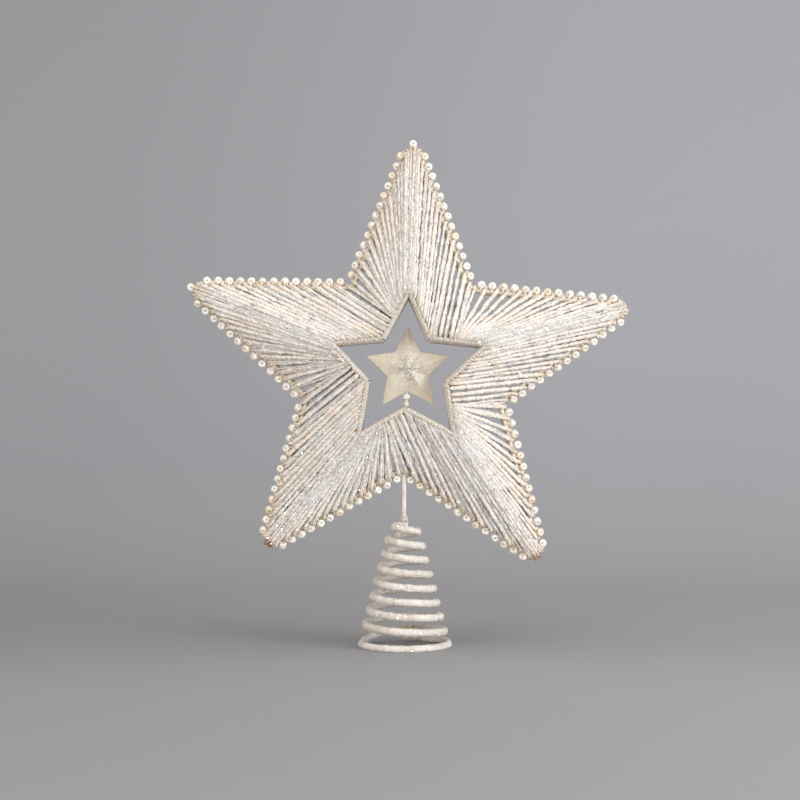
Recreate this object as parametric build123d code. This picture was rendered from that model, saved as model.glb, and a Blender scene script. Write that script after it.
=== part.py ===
"""A star for the top of a tree: a raised wire frame wound with thread, edged with beads,
and carried by a stem on a cone-shaped spring. Lengths are millimetres, angles are degrees.
Up is +Z, the star faces -Y, and the origin is the middle of the spring's foot."""

import os
from math import ceil, cos, radians, sin, sqrt

from build123d import *

# Spring that slips over the top shoot of the tree
SPRING_WIRE = 3.8
SPRING_BOTTOM_RADIUS = 22.2
SPRING_TOP_RADIUS = 6.3
SPRING_TURNS = 8.625
SPRING_STEPS = 35
SPRING_FLAT_STEPS = 3
SPRING_FIRST_RISE = 4.4
SPRING_PITCH = 7.0
SPRING_START_ANGLE = 90.0
SPRING_FOOT_CUT = 0.5
SPRING_BAR_INSET = 2.6
SPRING_BAR_LIFT = 0.5

# Stem and the thread binding round its foot
STEM_WIRE = 2.3
STEM_LENGTH = 26.9
STEM_TAIL = 7.0
STEM_BEND = 40.0
FOOT_GAP = 0.1
BINDING_WIDTH = 4.2
BINDING_HEIGHT = 3.2
SWAY_LIMIT = 10.0
SWAY_GAP = 0.12

# Wire frames of the star
ARMS = 5
FRAME_WIRE = 2.3
FRAME_BEND = 2.0
OUTER_REACH = 112.0
OUTER_NOTCH = 48.5
OUTER_LEAN = 2.25
INNER_WIRE = 1.6
INNER_BEND = 1.5
INNER_REACH = 41.0
INNER_NOTCH = 21.0
INNER_LEAN = 0.7
INNER_RISE = 14.0
STRUT_WIRE = 1.4
WELD_GAP = 0.05

# The wires are bent by hand: how far each corner leaves the even star, tip and notch in turn,
# clockwise from the top, as shares of its reach and as turns about the star's middle
OUTER_REACH_SHARES = (1, 1.02, 1.02, 0.99, 1.03, 1, 1.01, 1.06, 1.03, 1)
OUTER_SWINGS = (-1, -1, 0, -1, -1, 0, 0.5, 0, 0.5, -0.5)
INNER_REACH_SHARES = (0.95, 0.9, 1, 0.97, 0.98, 0.95, 1.02, 1.02, 0.98, 0.94)
INNER_SWINGS = (0, -1, 0, 1, 0, 3, 0, 1, 0, -4)

# Thread wound round the three frame wires
THREAD_WIDTH = 0.55
THREAD_LOOPS = 13
THREAD_GAP = 0.1
THREAD_KNUCKLE = 1.0
THREAD_KNUCKLE_BEND = 1.2
THREAD_TIP_MARGIN = 5.6
THREAD_NOTCH_MARGIN = 3.4
INNER_TIP_MARGIN = 3.5
INNER_NOTCH_MARGIN = 0.8
THREAD_TAIL = 0.9

# Beads on the outer edge and the fine wire that ties them on
BEAD_WIDTH = 4.0
BEAD_LENGTH = 3.0
BEAD_HOLE = 1.4
BEAD_ROUND_SHARE = 0.42
BEAD_SEAT_GAP = 0.05
BEAD_WIRE = 0.5
BEAD_WIRE_GAP = 0.1
BEAD_WIRE_BEND = 0.8
BEAD_WIRE_TAIL = 0.6
TIP_BEAD_ARMS = ("top", "left")

# Small star in the opening, on its pin with two beads
SMALL_REACH = 21.6
SMALL_NOTCH = 10.8
SMALL_LEAN = 0.0
SMALL_RIM = 2.4
SMALL_THICKNESS = 11.0
PIN_WIRE = 1.1
PIN_SOCKET_DEPTH = 5.0
PIN_SOCKET_GAP = 0.02
PIN_RUN_GAP = 0.05
PIN_PAST_MIDDLE = 1.5
UPPER_BEAD_DROP = 13.5
LOWER_BEAD_DROP = 17.1
LOWER_BEAD_WIDTH = 2.8
LOWER_BEAD_LENGTH = 2.2

# Points used to measure how close a wound tube comes to itself
GAP_STEP = 1.0

ARM_NAMES = ("top", "right", "lower_right", "lower_left", "left")
THREAD_NAMES = {
    ("top", -1): "top_left_thread",
    ("top", 1): "top_right_thread",
    ("right", -1): "right_upper_thread",
    ("right", 1): "right_lower_thread",
    ("lower_right", -1): "lower_right_outer_thread",
    ("lower_right", 1): "lower_right_inner_thread",
    ("lower_left", -1): "lower_left_inner_thread",
    ("lower_left", 1): "lower_left_outer_thread",
    ("left", -1): "left_lower_thread",
    ("left", 1): "left_upper_thread",
}

# Levels and places that follow from the sizes
SPRING_LEVEL = SPRING_WIRE / 2 - SPRING_FOOT_CUT
SPRING_STEP = SPRING_TURNS / SPRING_STEPS
SPRING_RISE_TURN = SPRING_STEP * (SPRING_FLAT_STEPS + 1)
SPRING_END_LEVEL = SPRING_LEVEL + SPRING_FIRST_RISE + SPRING_PITCH * (SPRING_TURNS - SPRING_RISE_TURN)
BAR_LEVEL = SPRING_END_LEVEL + SPRING_BAR_LIFT
BAR_TOP = BAR_LEVEL + SPRING_WIRE / 2
SWAY_LEVEL = BAR_TOP + FOOT_GAP + STEM_WIRE / 2
NOTCH_PLACE = Vector(0, 0, BAR_TOP + STEM_LENGTH)
LEAN_WAY = Vector(sin(radians(OUTER_LEAN)), 0, cos(radians(OUTER_LEAN)))
STAR_MIDDLE = NOTCH_PLACE + LEAN_WAY * OUTER_NOTCH
STEM_TOP = NOTCH_PLACE + LEAN_WAY * STEM_TAIL
PIN_END = STAR_MIDDLE + LEAN_WAY * PIN_PAST_MIDDLE
FRONT = Vector(0, -1, 0)
HALF_STEP = 180 / ARMS
EVEN_SHARES = (1,) * (2 * ARMS)
EVEN_SWINGS = (0,) * (2 * ARMS)
OUTER_OUTLINE = (OUTER_REACH, OUTER_NOTCH, OUTER_LEAN, OUTER_REACH_SHARES, OUTER_SWINGS)
INNER_OUTLINE = (INNER_REACH, INNER_NOTCH, INNER_LEAN, INNER_REACH_SHARES, INNER_SWINGS)
SMALL_OUTLINE = (SMALL_REACH, SMALL_NOTCH, SMALL_LEAN, EVEN_SHARES, EVEN_SWINGS)
OUTER_WRAP = FRAME_WIRE / 2 + THREAD_WIDTH / 2 + THREAD_GAP
INNER_WRAP = INNER_WIRE / 2 + THREAD_WIDTH / 2 + THREAD_GAP
BEAD_SEAT = FRAME_WIRE / 2 + BEAD_WIDTH / 2 + BEAD_SEAT_GAP


def corner(number, outline, depth):
    """Corner of a star outline; even numbers are tips, odd ones notches, clockwise from the top."""
    tip_reach, notch_reach, lean, reach_shares, swings = outline
    place = number % (2 * ARMS)
    bearing = radians(number * HALF_STEP + lean + swings[place])
    reach = (notch_reach if number % 2 else tip_reach) * reach_shares[place]
    return STAR_MIDDLE + Vector(reach * sin(bearing), depth, reach * cos(bearing))


def outer_corner(number):
    return corner(number, OUTER_OUTLINE, 0)


def inner_corner(number, depth):
    return corner(number, INNER_OUTLINE, depth)


def between(first, last, share):
    return first + (last - first) * share


def across(way, line):
    """The part of a way that is square to a line, as a unit vector."""
    return (way - line * way.dot(line)).normalized()


def tube(path, width):
    profile = Plane(origin=path @ 0, z_dir=path % 0) * Circle(width / 2)
    return sweep(profile, path=path).solid()


def least_gap(path, width):
    """Least gap between stretches of one tube that are not neighbours along it."""
    count = ceil(path.length / GAP_STEP)
    points = [tuple(path @ (number / count)) for number in range(count + 1)]
    skip = ceil(4 * width / GAP_STEP) + 2
    least = None
    for number, (x, y, z) in enumerate(points):
        for other_x, other_y, other_z in points[number + skip:]:
            apart = (x - other_x) ** 2 + (y - other_y) ** 2 + (z - other_z) ** 2
            if least is None or apart < least:
                least = apart
    return sqrt(least) - width


def biarc(start, start_way, end, end_way):
    """Two arcs that leave a point along one way and reach another along a second way."""
    span = end - start
    spread = 2 * (1 - start_way.dot(end_way))
    along = span.dot(start_way + end_way)
    reach = (sqrt(along ** 2 + spread * span.dot(span)) - along) / spread
    middle = (start + end + (start_way - end_way) * reach) / 2
    first = Edge.make_tangent_arc(start, start_way, middle)
    second = Edge.make_tangent_arc(middle, first % 1, end)
    return [first, second]


def spring_place(step):
    """Centre line of the spring and the way it runs, after a number of steps."""
    turn = step * SPRING_STEP
    angle = radians(SPRING_START_ANGLE - 360 * turn)
    shrink = (SPRING_TOP_RADIUS - SPRING_BOTTOM_RADIUS) / SPRING_TURNS
    radius = SPRING_BOTTOM_RADIUS + shrink * turn
    level = SPRING_LEVEL
    climb = 0
    if step > SPRING_FLAT_STEPS:
        level = SPRING_LEVEL + SPRING_FIRST_RISE + SPRING_PITCH * (turn - SPRING_RISE_TURN)
        climb = SPRING_PITCH
    outward = Vector(cos(angle), sin(angle), 0)
    sideways = Vector(sin(angle), -cos(angle), 0)
    place = outward * radius + Vector(0, 0, level)
    way = outward * shrink + sideways * (radius * radians(360)) + Vector(0, 0, climb)
    return place, way.normalized()


def make_spring():
    edges = []
    for step in range(SPRING_STEPS):
        edges += biarc(*spring_place(step), *spring_place(step + 1))
    bar_start = Vector(-SPRING_BAR_INSET, 0, BAR_LEVEL)
    bar_end = Vector(SPRING_WIRE / 2, 0, BAR_LEVEL)
    edges += biarc(*spring_place(SPRING_STEPS), bar_start, Vector(1, 0, 0))
    edges.append(Edge.make_line(bar_start, bar_end))
    path = Wire(edges)
    print("spring least gap", round(least_gap(path, SPRING_WIRE), 2))
    floor_side = 4 * SPRING_BOTTOM_RADIUS
    below = Pos(0, 0, -SPRING_WIRE / 2) * Box(floor_side, floor_side, SPRING_WIRE)
    return (tube(path, SPRING_WIRE) - below).solid()


def stem_tube(width):
    foot = Vector(0, 0, SWAY_LEVEL)
    path = FilletPolyline(foot, NOTCH_PLACE, STEM_TOP, radius=STEM_BEND)
    return tube(path, width)


def make_stem():
    foot = Pos(0, 0, SWAY_LEVEL) * Sphere(STEM_WIRE / 2)
    socket_end = STEM_TOP - LEAN_WAY * PIN_SOCKET_DEPTH
    socket = tube(Wire([Edge.make_line(socket_end, STEM_TOP + LEAN_WAY)]), PIN_WIRE + 2 * PIN_SOCKET_GAP)
    return (stem_tube(STEM_WIRE) + foot - socket).solid()


def make_binding():
    """Barrel round the stem's foot, bored wide enough for the stem to lean."""
    bottom = BAR_TOP + FOOT_GAP / 2
    rise = bottom + BINDING_HEIGHT - SWAY_LEVEL
    sway = radians(SWAY_LIMIT)
    lower_radius = STEM_WIRE / 2 + SWAY_GAP
    upper_radius = STEM_WIRE / 2 / cos(sway) + rise * sin(sway) / cos(sway) + SWAY_GAP
    barrel = Cylinder(BINDING_WIDTH / 2, BINDING_HEIGHT)
    bore = Cone(lower_radius, upper_radius, BINDING_HEIGHT)
    return (Pos(0, 0, bottom + BINDING_HEIGHT / 2) * (barrel - bore)).solid()


def outer_tube(width):
    """Outline wire from the stem's right side round the star to its left side."""
    notch = outer_corner(ARMS)
    first = notch + (outer_corner(ARMS - 1) - notch).normalized() * (STEM_WIRE / 2)
    last = notch + (outer_corner(ARMS + 1) - notch).normalized() * (STEM_WIRE / 2)
    corners = [outer_corner(number) for number in range(ARMS - 1, -ARMS, -1)]
    return tube(FilletPolyline(first, *corners, last, radius=FRAME_BEND), width)


def make_outer_frame():
    return (outer_tube(FRAME_WIRE) - stem_tube(STEM_WIRE + 2 * WELD_GAP)).solid()


def inner_tube(depth, width):
    """Opening's wire, butted end to end in the middle of the edge right of the top tip."""
    tip = inner_corner(0, depth)
    notch = inner_corner(1, depth)
    way = (notch - tip).normalized() * WELD_GAP
    middle = between(tip, notch, 1 / 2)
    corners = [inner_corner(number, depth) for number in range(1, 2 * ARMS + 1)]
    return tube(FilletPolyline(middle + way, *corners, middle - way, radius=INNER_BEND), width)


def bend_middle(number, bend, outline, depth):
    """Middle of a tip's bend on the wire's centre line."""
    tip = corner(number, outline, depth)
    before = (corner(number - 1, outline, depth) - tip).normalized()
    after = (corner(number + 1, outline, depth) - tip).normalized()
    inward = (before + after).normalized()
    half_sine = inward.cross(after).length
    return tip + inward * (bend / half_sine - bend)


def make_struts(side):
    """Five wires on one face, from the outer tips to the inner tips."""
    depth = side * INNER_RISE
    outer_fat = outer_tube(FRAME_WIRE + 2 * WELD_GAP)
    inner_fat = inner_tube(depth, INNER_WIRE + 2 * WELD_GAP)
    struts = []
    for arm in range(ARMS):
        outer_end = bend_middle(2 * arm, FRAME_BEND, OUTER_OUTLINE, 0)
        outer_end += Vector(0, side * (STRUT_WIRE / 2 + WELD_GAP), 0)
        inner_end = bend_middle(2 * arm, INNER_BEND, INNER_OUTLINE, depth)
        rod = tube(Wire([Edge.make_line(inner_end, outer_end)]), STRUT_WIRE)
        pieces = (rod - outer_fat - inner_fat).solids()
        struts.append(pieces.sort_by(SortBy.VOLUME)[-1])
    return struts


def edge_line(arm, side):
    """Straight outer edge of one half arm: its tip, its way to the notch, and its length."""
    tip = outer_corner(2 * arm)
    notch = outer_corner(2 * arm + side)
    return tip, (notch - tip).normalized(), (notch - tip).length


def wrap_place(arm, side, wrap):
    tip, way, length = edge_line(arm, side)
    pitch = (length - THREAD_TIP_MARGIN - THREAD_NOTCH_MARGIN) / THREAD_LOOPS
    return tip + way * (THREAD_TIP_MARGIN + pitch * wrap)


def inner_line(arm, side, face):
    """Used stretch of an inner wire for one half arm, on the front (-1) or rear (1) face."""
    depth = face * INNER_RISE
    tip = inner_corner(2 * arm, depth)
    notch = inner_corner(2 * arm + side, depth)
    way = (notch - tip).normalized()
    return tip + way * INNER_TIP_MARGIN, notch - way * INNER_NOTCH_MARGIN


def even_shares(arm, side):
    """Shares along the inner wire that leave neighbouring strands evenly apart."""
    first, last = inner_line(arm, side, -1)
    steps = 2 * THREAD_LOOPS
    weights = []
    for step in range(steps):
        share = (step + 1 / 2) / steps
        strand = between(first, last, share) - wrap_place(arm, side, THREAD_LOOPS * share)
        weights.append(1 / strand.normalized().cross((last - first).normalized()).length)
    return [sum(weights[:step]) / sum(weights) for step in range(steps + 1)]


def strand_ends(outer_place, outer_way, inner_place, inner_way, face):
    """Corners of one strand: outer apex, outer knuckle, inner knuckle, inner apex."""
    towards = Vector(0, face, 0)
    strand = inner_place - outer_place
    inward = across(strand, outer_way)
    lift = across(towards - inward * towards.dot(inward), outer_way)
    slide = OUTER_WRAP * lift.Y / inward.Y
    outer_apex = outer_place + lift * OUTER_WRAP - inward * slide
    outer_knuckle = outer_place + lift * OUTER_WRAP + inward * THREAD_KNUCKLE
    outward = across(strand * -1, inner_way)
    inner_lift = across(towards - outward * towards.dot(outward), inner_way)
    wall = across(strand - towards * strand.dot(towards), inner_way)
    drop = INNER_WRAP * (inner_lift.dot(wall) - 1) / outward.dot(wall)
    inner_knuckle = inner_place + inner_lift * INNER_WRAP + outward * THREAD_KNUCKLE
    inner_apex = inner_place + inner_lift * INNER_WRAP - outward * drop
    return outer_apex, outer_knuckle, inner_knuckle, inner_apex


def mirrored(place):
    return Vector(place.X, -place.Y, place.Z)


def winding_path(arm, side):
    """One thread: round the outer wire, over the front, round both inner wires, back again."""
    outer_way = edge_line(arm, side)[1]
    shares = even_shares(arm, side)
    front_first, front_last = inner_line(arm, side, -1)
    rear_first, rear_last = inner_line(arm, side, 1)
    inner_way = (front_last - front_first).normalized()
    points = []
    bends = []
    for loop in range(THREAD_LOOPS):
        front_place = between(front_first, front_last, shares[2 * loop])
        rear_place = between(rear_first, rear_last, shares[2 * loop + 1])
        start = wrap_place(arm, side, loop)
        end = wrap_place(arm, side, loop + 1)
        front = strand_ends(start, outer_way, front_place, inner_way, -1)
        rear = strand_ends(end, outer_way, rear_place, inner_way, 1)
        if loop == 0:
            points.append(mirrored(front[1] + (front[1] - front[0]).normalized() * THREAD_TAIL))
        points += [*front, rear[3], rear[2], rear[1]]
        bends += [OUTER_WRAP, THREAD_KNUCKLE_BEND, THREAD_KNUCKLE_BEND, INNER_WRAP, INNER_WRAP]
        bends += [THREAD_KNUCKLE_BEND, THREAD_KNUCKLE_BEND]
    points += [rear[0], mirrored(rear[1] + (rear[1] - rear[0]).normalized() * THREAD_TAIL)]
    bends.append(OUTER_WRAP)
    return FilletPolyline(*points, radius=bends)


def seed_bead(width, length):
    """Round bead with its hole along Y."""
    wall = (width - BEAD_HOLE) / 2
    section = Plane.XY * Pos(BEAD_HOLE / 2 + wall / 2, 0) * RectangleRounded(wall, length, wall * BEAD_ROUND_SHARE)
    return revolve(section, Axis.Y).solid()


def outward_way(arm, side):
    tip, way, length = edge_line(arm, side)
    return across(tip - STAR_MIDDLE, way)


def make_arm_beads(arm, name):
    bead = seed_bead(BEAD_WIDTH, BEAD_LENGTH)
    beads = []
    for side in (-1, 1):
        for number in range(THREAD_LOOPS):
            place = wrap_place(arm, side, number + 1 / 2) + outward_way(arm, side) * BEAD_SEAT
            beads.append(Location(place) * bead)
    if name in TIP_BEAD_ARMS:
        tip = bend_middle(2 * arm, FRAME_BEND, OUTER_OUTLINE, 0)
        place = tip + (tip - STAR_MIDDLE).normalized() * BEAD_SEAT
        beads.append(Location(place) * bead)
    return beads


def bead_wire_path(arm, side):
    """Fine wire: back through a bead, behind the frame, forward inside it, and on to the next bead."""
    outward = outward_way(arm, side)
    depth = BEAD_LENGTH / 2 + BEAD_WIRE / 2 + BEAD_WIRE_GAP
    inside = FRAME_WIRE / 2 + BEAD_WIRE / 2 + BEAD_WIRE_GAP
    tail = FRONT * (BEAD_LENGTH / 2 + BEAD_WIRE_TAIL)
    points = []
    for number in range(THREAD_LOOPS):
        place = wrap_place(arm, side, number + 1 / 2)
        if number == 0:
            points.append(place + outward * BEAD_SEAT + tail)
        else:
            points.append(place - outward * inside + FRONT * depth)
            points.append(place + outward * BEAD_SEAT + FRONT * depth)
        if number < THREAD_LOOPS - 1:
            points.append(place + outward * BEAD_SEAT - FRONT * depth)
            points.append(place - outward * inside - FRONT * depth)
        else:
            points.append(place + outward * BEAD_SEAT - tail)
    return FilletPolyline(*points, radius=BEAD_WIRE_BEND)


def make_small_star():
    """Faceted star: ridges on both faces run from the middle to the tips, round a plain rim."""
    rise = FRONT * (SMALL_THICKNESS / 2)
    front_rim = []
    rear_rim = []
    for number in range(2 * ARMS):
        place = corner(number, SMALL_OUTLINE, 0)
        front_rim.append(place + FRONT * (SMALL_RIM / 2))
        rear_rim.append(place - FRONT * (SMALL_RIM / 2))
    faces = []
    for number in range(2 * ARMS):
        after = (number + 1) % (2 * ARMS)
        outlines = [
            [STAR_MIDDLE + rise, front_rim[number], front_rim[after]],
            [STAR_MIDDLE - rise, rear_rim[after], rear_rim[number]],
            [front_rim[number], rear_rim[number], rear_rim[after], front_rim[after]],
        ]
        faces += [Face(Wire.make_polygon(outline)) for outline in outlines]
    star = Solid(Shell(faces))
    bore_path = Wire([Edge.make_line(STAR_MIDDLE - LEAN_WAY * SMALL_REACH, PIN_END + LEAN_WAY)])
    return (star - tube(bore_path, PIN_WIRE + 2 * PIN_RUN_GAP)).solid()


def make_pin():
    start = STEM_TOP - LEAN_WAY * (PIN_SOCKET_DEPTH - WELD_GAP)
    return tube(Wire([Edge.make_line(start, PIN_END)]), PIN_WIRE)


def pin_bead(width, length, drop):
    place = Plane(origin=STAR_MIDDLE - LEAN_WAY * drop, z_dir=LEAN_WAY)
    upright = Rot(90, 0, 0) * seed_bead(width, length)
    return (place.location * upright).solid()


parts = {}
parts["spring"] = [make_spring()]
parts["stem_binding"] = [make_binding()]
parts["stem"] = [make_stem()]
parts["outer_frame"] = [make_outer_frame()]
parts["front_inner_frame"] = [inner_tube(-INNER_RISE, INNER_WIRE)]
parts["rear_inner_frame"] = [inner_tube(INNER_RISE, INNER_WIRE)]
parts["front_struts"] = make_struts(-1)
parts["rear_struts"] = make_struts(1)
for arm, name in enumerate(ARM_NAMES):
    wires = []
    for side in (-1, 1):
        thread = winding_path(arm, side)
        print("thread least gap", round(least_gap(thread, THREAD_WIDTH), 2))
        parts[THREAD_NAMES[name, side]] = [tube(thread, THREAD_WIDTH)]
        wire = bead_wire_path(arm, side)
        print("bead wire least gap", round(least_gap(wire, BEAD_WIRE), 2))
        wires.append(tube(wire, BEAD_WIRE))
    parts[f"{name}_arm_beads"] = make_arm_beads(arm, name)
    parts[f"{name}_arm_bead_wires"] = wires
parts["star_pin"] = [make_pin()]
parts["lower_pin_bead"] = [pin_bead(LOWER_BEAD_WIDTH, LOWER_BEAD_LENGTH, LOWER_BEAD_DROP)]
parts["upper_pin_bead"] = [pin_bead(BEAD_WIDTH, BEAD_LENGTH, UPPER_BEAD_DROP)]
parts["small_star"] = [make_small_star()]

os.makedirs("parts", exist_ok=True)
for node, solids in parts.items():
    body = solids[0] if len(solids) == 1 else Compound(children=solids)
    export_step(body, f"parts/{node}.step")
    print(node, len(solids), round(sum(solid.volume for solid in solids), 1))
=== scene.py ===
# %% [markdown]
# # A wound star for the top of a tree
# The object is a five-armed star of wire. White glittered thread is wound over the wire, glass beads
# are tied along its edge, and a small plastic star turns in its opening. A stem joins the star to a
# cone-shaped spring that slips over the tree's top shoot.
# The packed CAD model is loaded first as a fixed frame. The frame wires and the pin keep their CAD shape
# and get a finish. Everything wound, beaded or moulded is made again here, with the real one's detail.

# %% Load the frame
import random
from math import cos, exp, pi, radians, sin, sqrt, tan

import bmesh
import bpy
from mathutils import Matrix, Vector


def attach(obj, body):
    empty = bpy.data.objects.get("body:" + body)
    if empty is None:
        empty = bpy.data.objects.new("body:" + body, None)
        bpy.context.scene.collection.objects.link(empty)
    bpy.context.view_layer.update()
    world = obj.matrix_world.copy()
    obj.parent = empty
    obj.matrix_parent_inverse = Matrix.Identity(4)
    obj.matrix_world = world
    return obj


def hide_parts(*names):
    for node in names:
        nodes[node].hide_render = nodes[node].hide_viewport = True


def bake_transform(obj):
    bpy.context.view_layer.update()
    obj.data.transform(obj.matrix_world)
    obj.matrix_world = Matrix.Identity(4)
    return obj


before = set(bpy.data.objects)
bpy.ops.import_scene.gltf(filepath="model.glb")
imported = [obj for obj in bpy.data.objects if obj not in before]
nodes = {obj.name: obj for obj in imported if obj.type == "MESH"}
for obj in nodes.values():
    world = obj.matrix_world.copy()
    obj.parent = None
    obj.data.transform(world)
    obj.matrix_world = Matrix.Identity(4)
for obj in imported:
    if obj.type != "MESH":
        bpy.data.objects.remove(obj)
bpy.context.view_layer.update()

scene = bpy.context.scene

# %% [markdown]
# The star's places follow from a few sizes, the same ones that the solids were made from. They are
# repeated here in metres. A corner has a number: even corners are tips and odd ones are notches,
# clockwise from the top as the viewer at the front sees them. The front is the -Y side. The wires are
# bent by hand, so each corner leaves the even star by a share of its reach and by a small turn.

# %% Sizes of the star
MM = 0.001
ARMS = 5
CORNERS = 2 * ARMS
ARM_NAMES = ("top", "right", "lower_right", "lower_left", "left")
HALF_STEP = pi / ARMS
OUTER_REACH, OUTER_NOTCH, OUTER_LEAN = 112.0 * MM, 48.5 * MM, radians(2.25)
INNER_REACH, INNER_NOTCH, INNER_LEAN = 41.0 * MM, 21.0 * MM, radians(0.7)
SMALL_REACH, SMALL_NOTCH = 21.6 * MM, 10.8 * MM
OUTER_REACH_SHARES = (1, 1.02, 1.02, 0.99, 1.03, 1, 1.01, 1.06, 1.03, 1)
OUTER_SWINGS = (-1, -1, 0, -1, -1, 0, 0.5, 0, 0.5, -0.5)
INNER_REACH_SHARES = (0.95, 0.9, 1, 0.97, 0.98, 0.95, 1.02, 1.02, 0.98, 0.94)
INNER_SWINGS = (0, -1, 0, 1, 0, 3, 0, 1, 0, -4)
EVEN_SHARES, EVEN_SWINGS = (1,) * CORNERS, (0,) * CORNERS
OUTER_OUTLINE = (OUTER_REACH, OUTER_NOTCH, OUTER_LEAN, OUTER_REACH_SHARES, OUTER_SWINGS)
INNER_OUTLINE = (INNER_REACH, INNER_NOTCH, INNER_LEAN, INNER_REACH_SHARES, INNER_SWINGS)
SMALL_OUTLINE = (SMALL_REACH, SMALL_NOTCH, 0.0, EVEN_SHARES, EVEN_SWINGS)
INNER_RISE = 14.0 * MM
FRAME_WIRE, INNER_WIRE = 2.3 * MM, 1.6 * MM
BAR_LEVEL, BAR_TOP, STEM_LENGTH = 59.775 * MM, 61.675 * MM, 26.9 * MM
LEAN_WAY = Vector((sin(OUTER_LEAN), 0, cos(OUTER_LEAN)))
NOTCH_PLACE = Vector((0, 0, BAR_TOP + STEM_LENGTH))
STAR_MIDDLE = NOTCH_PLACE + LEAN_WAY * OUTER_NOTCH
FRONT = Vector((0, -1, 0))


def star_corner(number, outline, depth=0.0):
    tip_reach, notch_reach, lean, reach_shares, swings = outline
    place = number % CORNERS
    bearing = number * HALF_STEP + lean + radians(swings[place])
    reach = (notch_reach if number % 2 else tip_reach) * reach_shares[place]
    return STAR_MIDDLE + Vector((reach * sin(bearing), depth, reach * cos(bearing)))


def outer_corner(number):
    return star_corner(number, OUTER_OUTLINE)


def inner_corner(number, depth=0.0):
    return star_corner(number, INNER_OUTLINE, depth)


print("star's middle:", tuple(round(v, 4) for v in STAR_MIDDLE))

# %% [markdown]
# The picture was taken level, from straight in front, with a long lens. The camera stands at about half
# the object's height and looks level along +Y, so upright lines stay upright.

# %% Camera
CAMERA_PLACE = Vector((-0.002, -0.874, 0.122))
PICTURE_PIXELS, LENS_PIXELS = 800, 1765.0
SENSOR, CLIP_START = 36.0, 0.01


def put(name, data):
    """Makes an object from its data and puts it in the scene."""
    made = bpy.data.objects.new(name, data)
    scene.collection.objects.link(made)
    return made


camera_data = bpy.data.cameras.new("studio_camera")
camera_data.sensor_width = SENSOR
camera_data.lens = SENSOR * LENS_PIXELS / PICTURE_PIXELS
camera_data.clip_start = CLIP_START
camera = put("studio_camera", camera_data)
camera.location = CAMERA_PLACE
camera.rotation_euler = (pi / 2, 0, 0)
scene.camera = camera
print("lens:", round(camera_data.lens, 1), "mm")

# %% [markdown]
# Colours are written as a painter reads them from a screen, 0 to 255, and turned into the linear
# numbers that Blender calculates with. A node tree is wired by short calls: one adds a node and feeds
# its sockets, and the others add the nodes that come up again and again. They take sockets and plain
# values alike, and most hand back the output that the next node needs.

# %% Helpers for node trees
def linear(level):
    share = level / 255
    return share / 12.92 if share <= 0.04045 else ((share + 0.055) / 1.055) ** 2.4


def colour(red, green, blue):
    return (linear(red), linear(green), linear(blue), 1.0)


class Wiring:
    """A node tree, with short calls that add nodes and join them."""

    def __init__(self, tree):
        self.tree = tree

    def feed(self, target, value):
        """Links a socket into a socket, or sets a plain value on it."""
        if isinstance(value, bpy.types.NodeSocket):
            self.tree.links.new(value, target)
        else:
            target.default_value = value

    def add(self, kind, inputs=None, **settings):
        made = self.tree.nodes.new(kind)
        for name, value in settings.items():
            setattr(made, name, value)
        for name, value in (inputs or {}).items():
            self.feed(made.inputs[name], value)
        return made

    def get(self, kind, inputs=None, **settings):
        return self.add(kind, inputs, **settings).outputs[0]

    def reckon(self, operation, *terms):
        return self.get("ShaderNodeMath", dict(enumerate(terms)), operation=operation)

    def plus(self, first, second):
        return self.reckon("ADD", first, second)

    def times(self, first, second):
        return self.reckon("MULTIPLY", first, second)

    def vector(self, operation, first, second):
        second_input = "Scale" if operation == "SCALE" else 1
        return self.get("ShaderNodeVectorMath", {0: first, second_input: second}, operation=operation)

    def distance(self, first, second):
        return self.add("ShaderNodeVectorMath", {0: first, 1: second}, operation="DISTANCE").outputs["Value"]

    def xyz(self, *parts):
        return self.get("ShaderNodeCombineXYZ", dict(enumerate(parts)))

    def split(self, vector):
        return self.add("ShaderNodeSeparateXYZ", {0: vector}).outputs

    def mix(self, share, first, second, way="MIX"):
        made = self.add("ShaderNodeMix", {0: share, 6: first, 7: second}, data_type="RGBA", blend_type=way)
        return made.outputs[2]

    def spread(self, value, between, to=(0.0, 1.0)):
        """Takes one range of a value to another, and holds it at the ends."""
        return self.get("ShaderNodeMapRange", dict(enumerate((value, *between, *to))))

    def here(self):
        return self.add("ShaderNodeTexCoord").outputs["Object"]

    def noise(self, where, scale, detail, roughness=0.5):
        inputs = {"Vector": where, "Scale": scale, "Detail": detail, "Roughness": roughness}
        return self.add("ShaderNodeTexNoise", inputs).outputs["Fac"]

    def attribute(self, name):
        return self.add("ShaderNodeAttribute", attribute_name=name).outputs["Fac"]

    def group(self, group, inputs=None):
        return self.add("ShaderNodeGroup", inputs, node_tree=group.tree).outputs


print("cream in linear numbers:", [round(v, 3) for v in colour(236, 229, 220)])

# %% [markdown]
# The object stands on a plain pale sweep: one sheet that lies flat under it and curves up behind it.
# A sweep has no corner, so the picture shows only a soft change of tone where the sheet turns up.
# The sheet is one profile, flat and then curved, repeated in columns from side to side.

# %% Sweep's sheet
SWEEP_HALF_WIDTH, SWEEP_COLUMNS = 2.4, 8
SWEEP_NEAR, SWEEP_BEND_START, SWEEP_BEND, SWEEP_TOP, SWEEP_BEND_STEPS = -1.6, 0.25, 0.5, 2.2, 24


def new_mesh(name, points, edges=(), faces=()):
    mesh = bpy.data.meshes.new(name)
    mesh.from_pydata(points, edges, faces)
    return mesh


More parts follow.
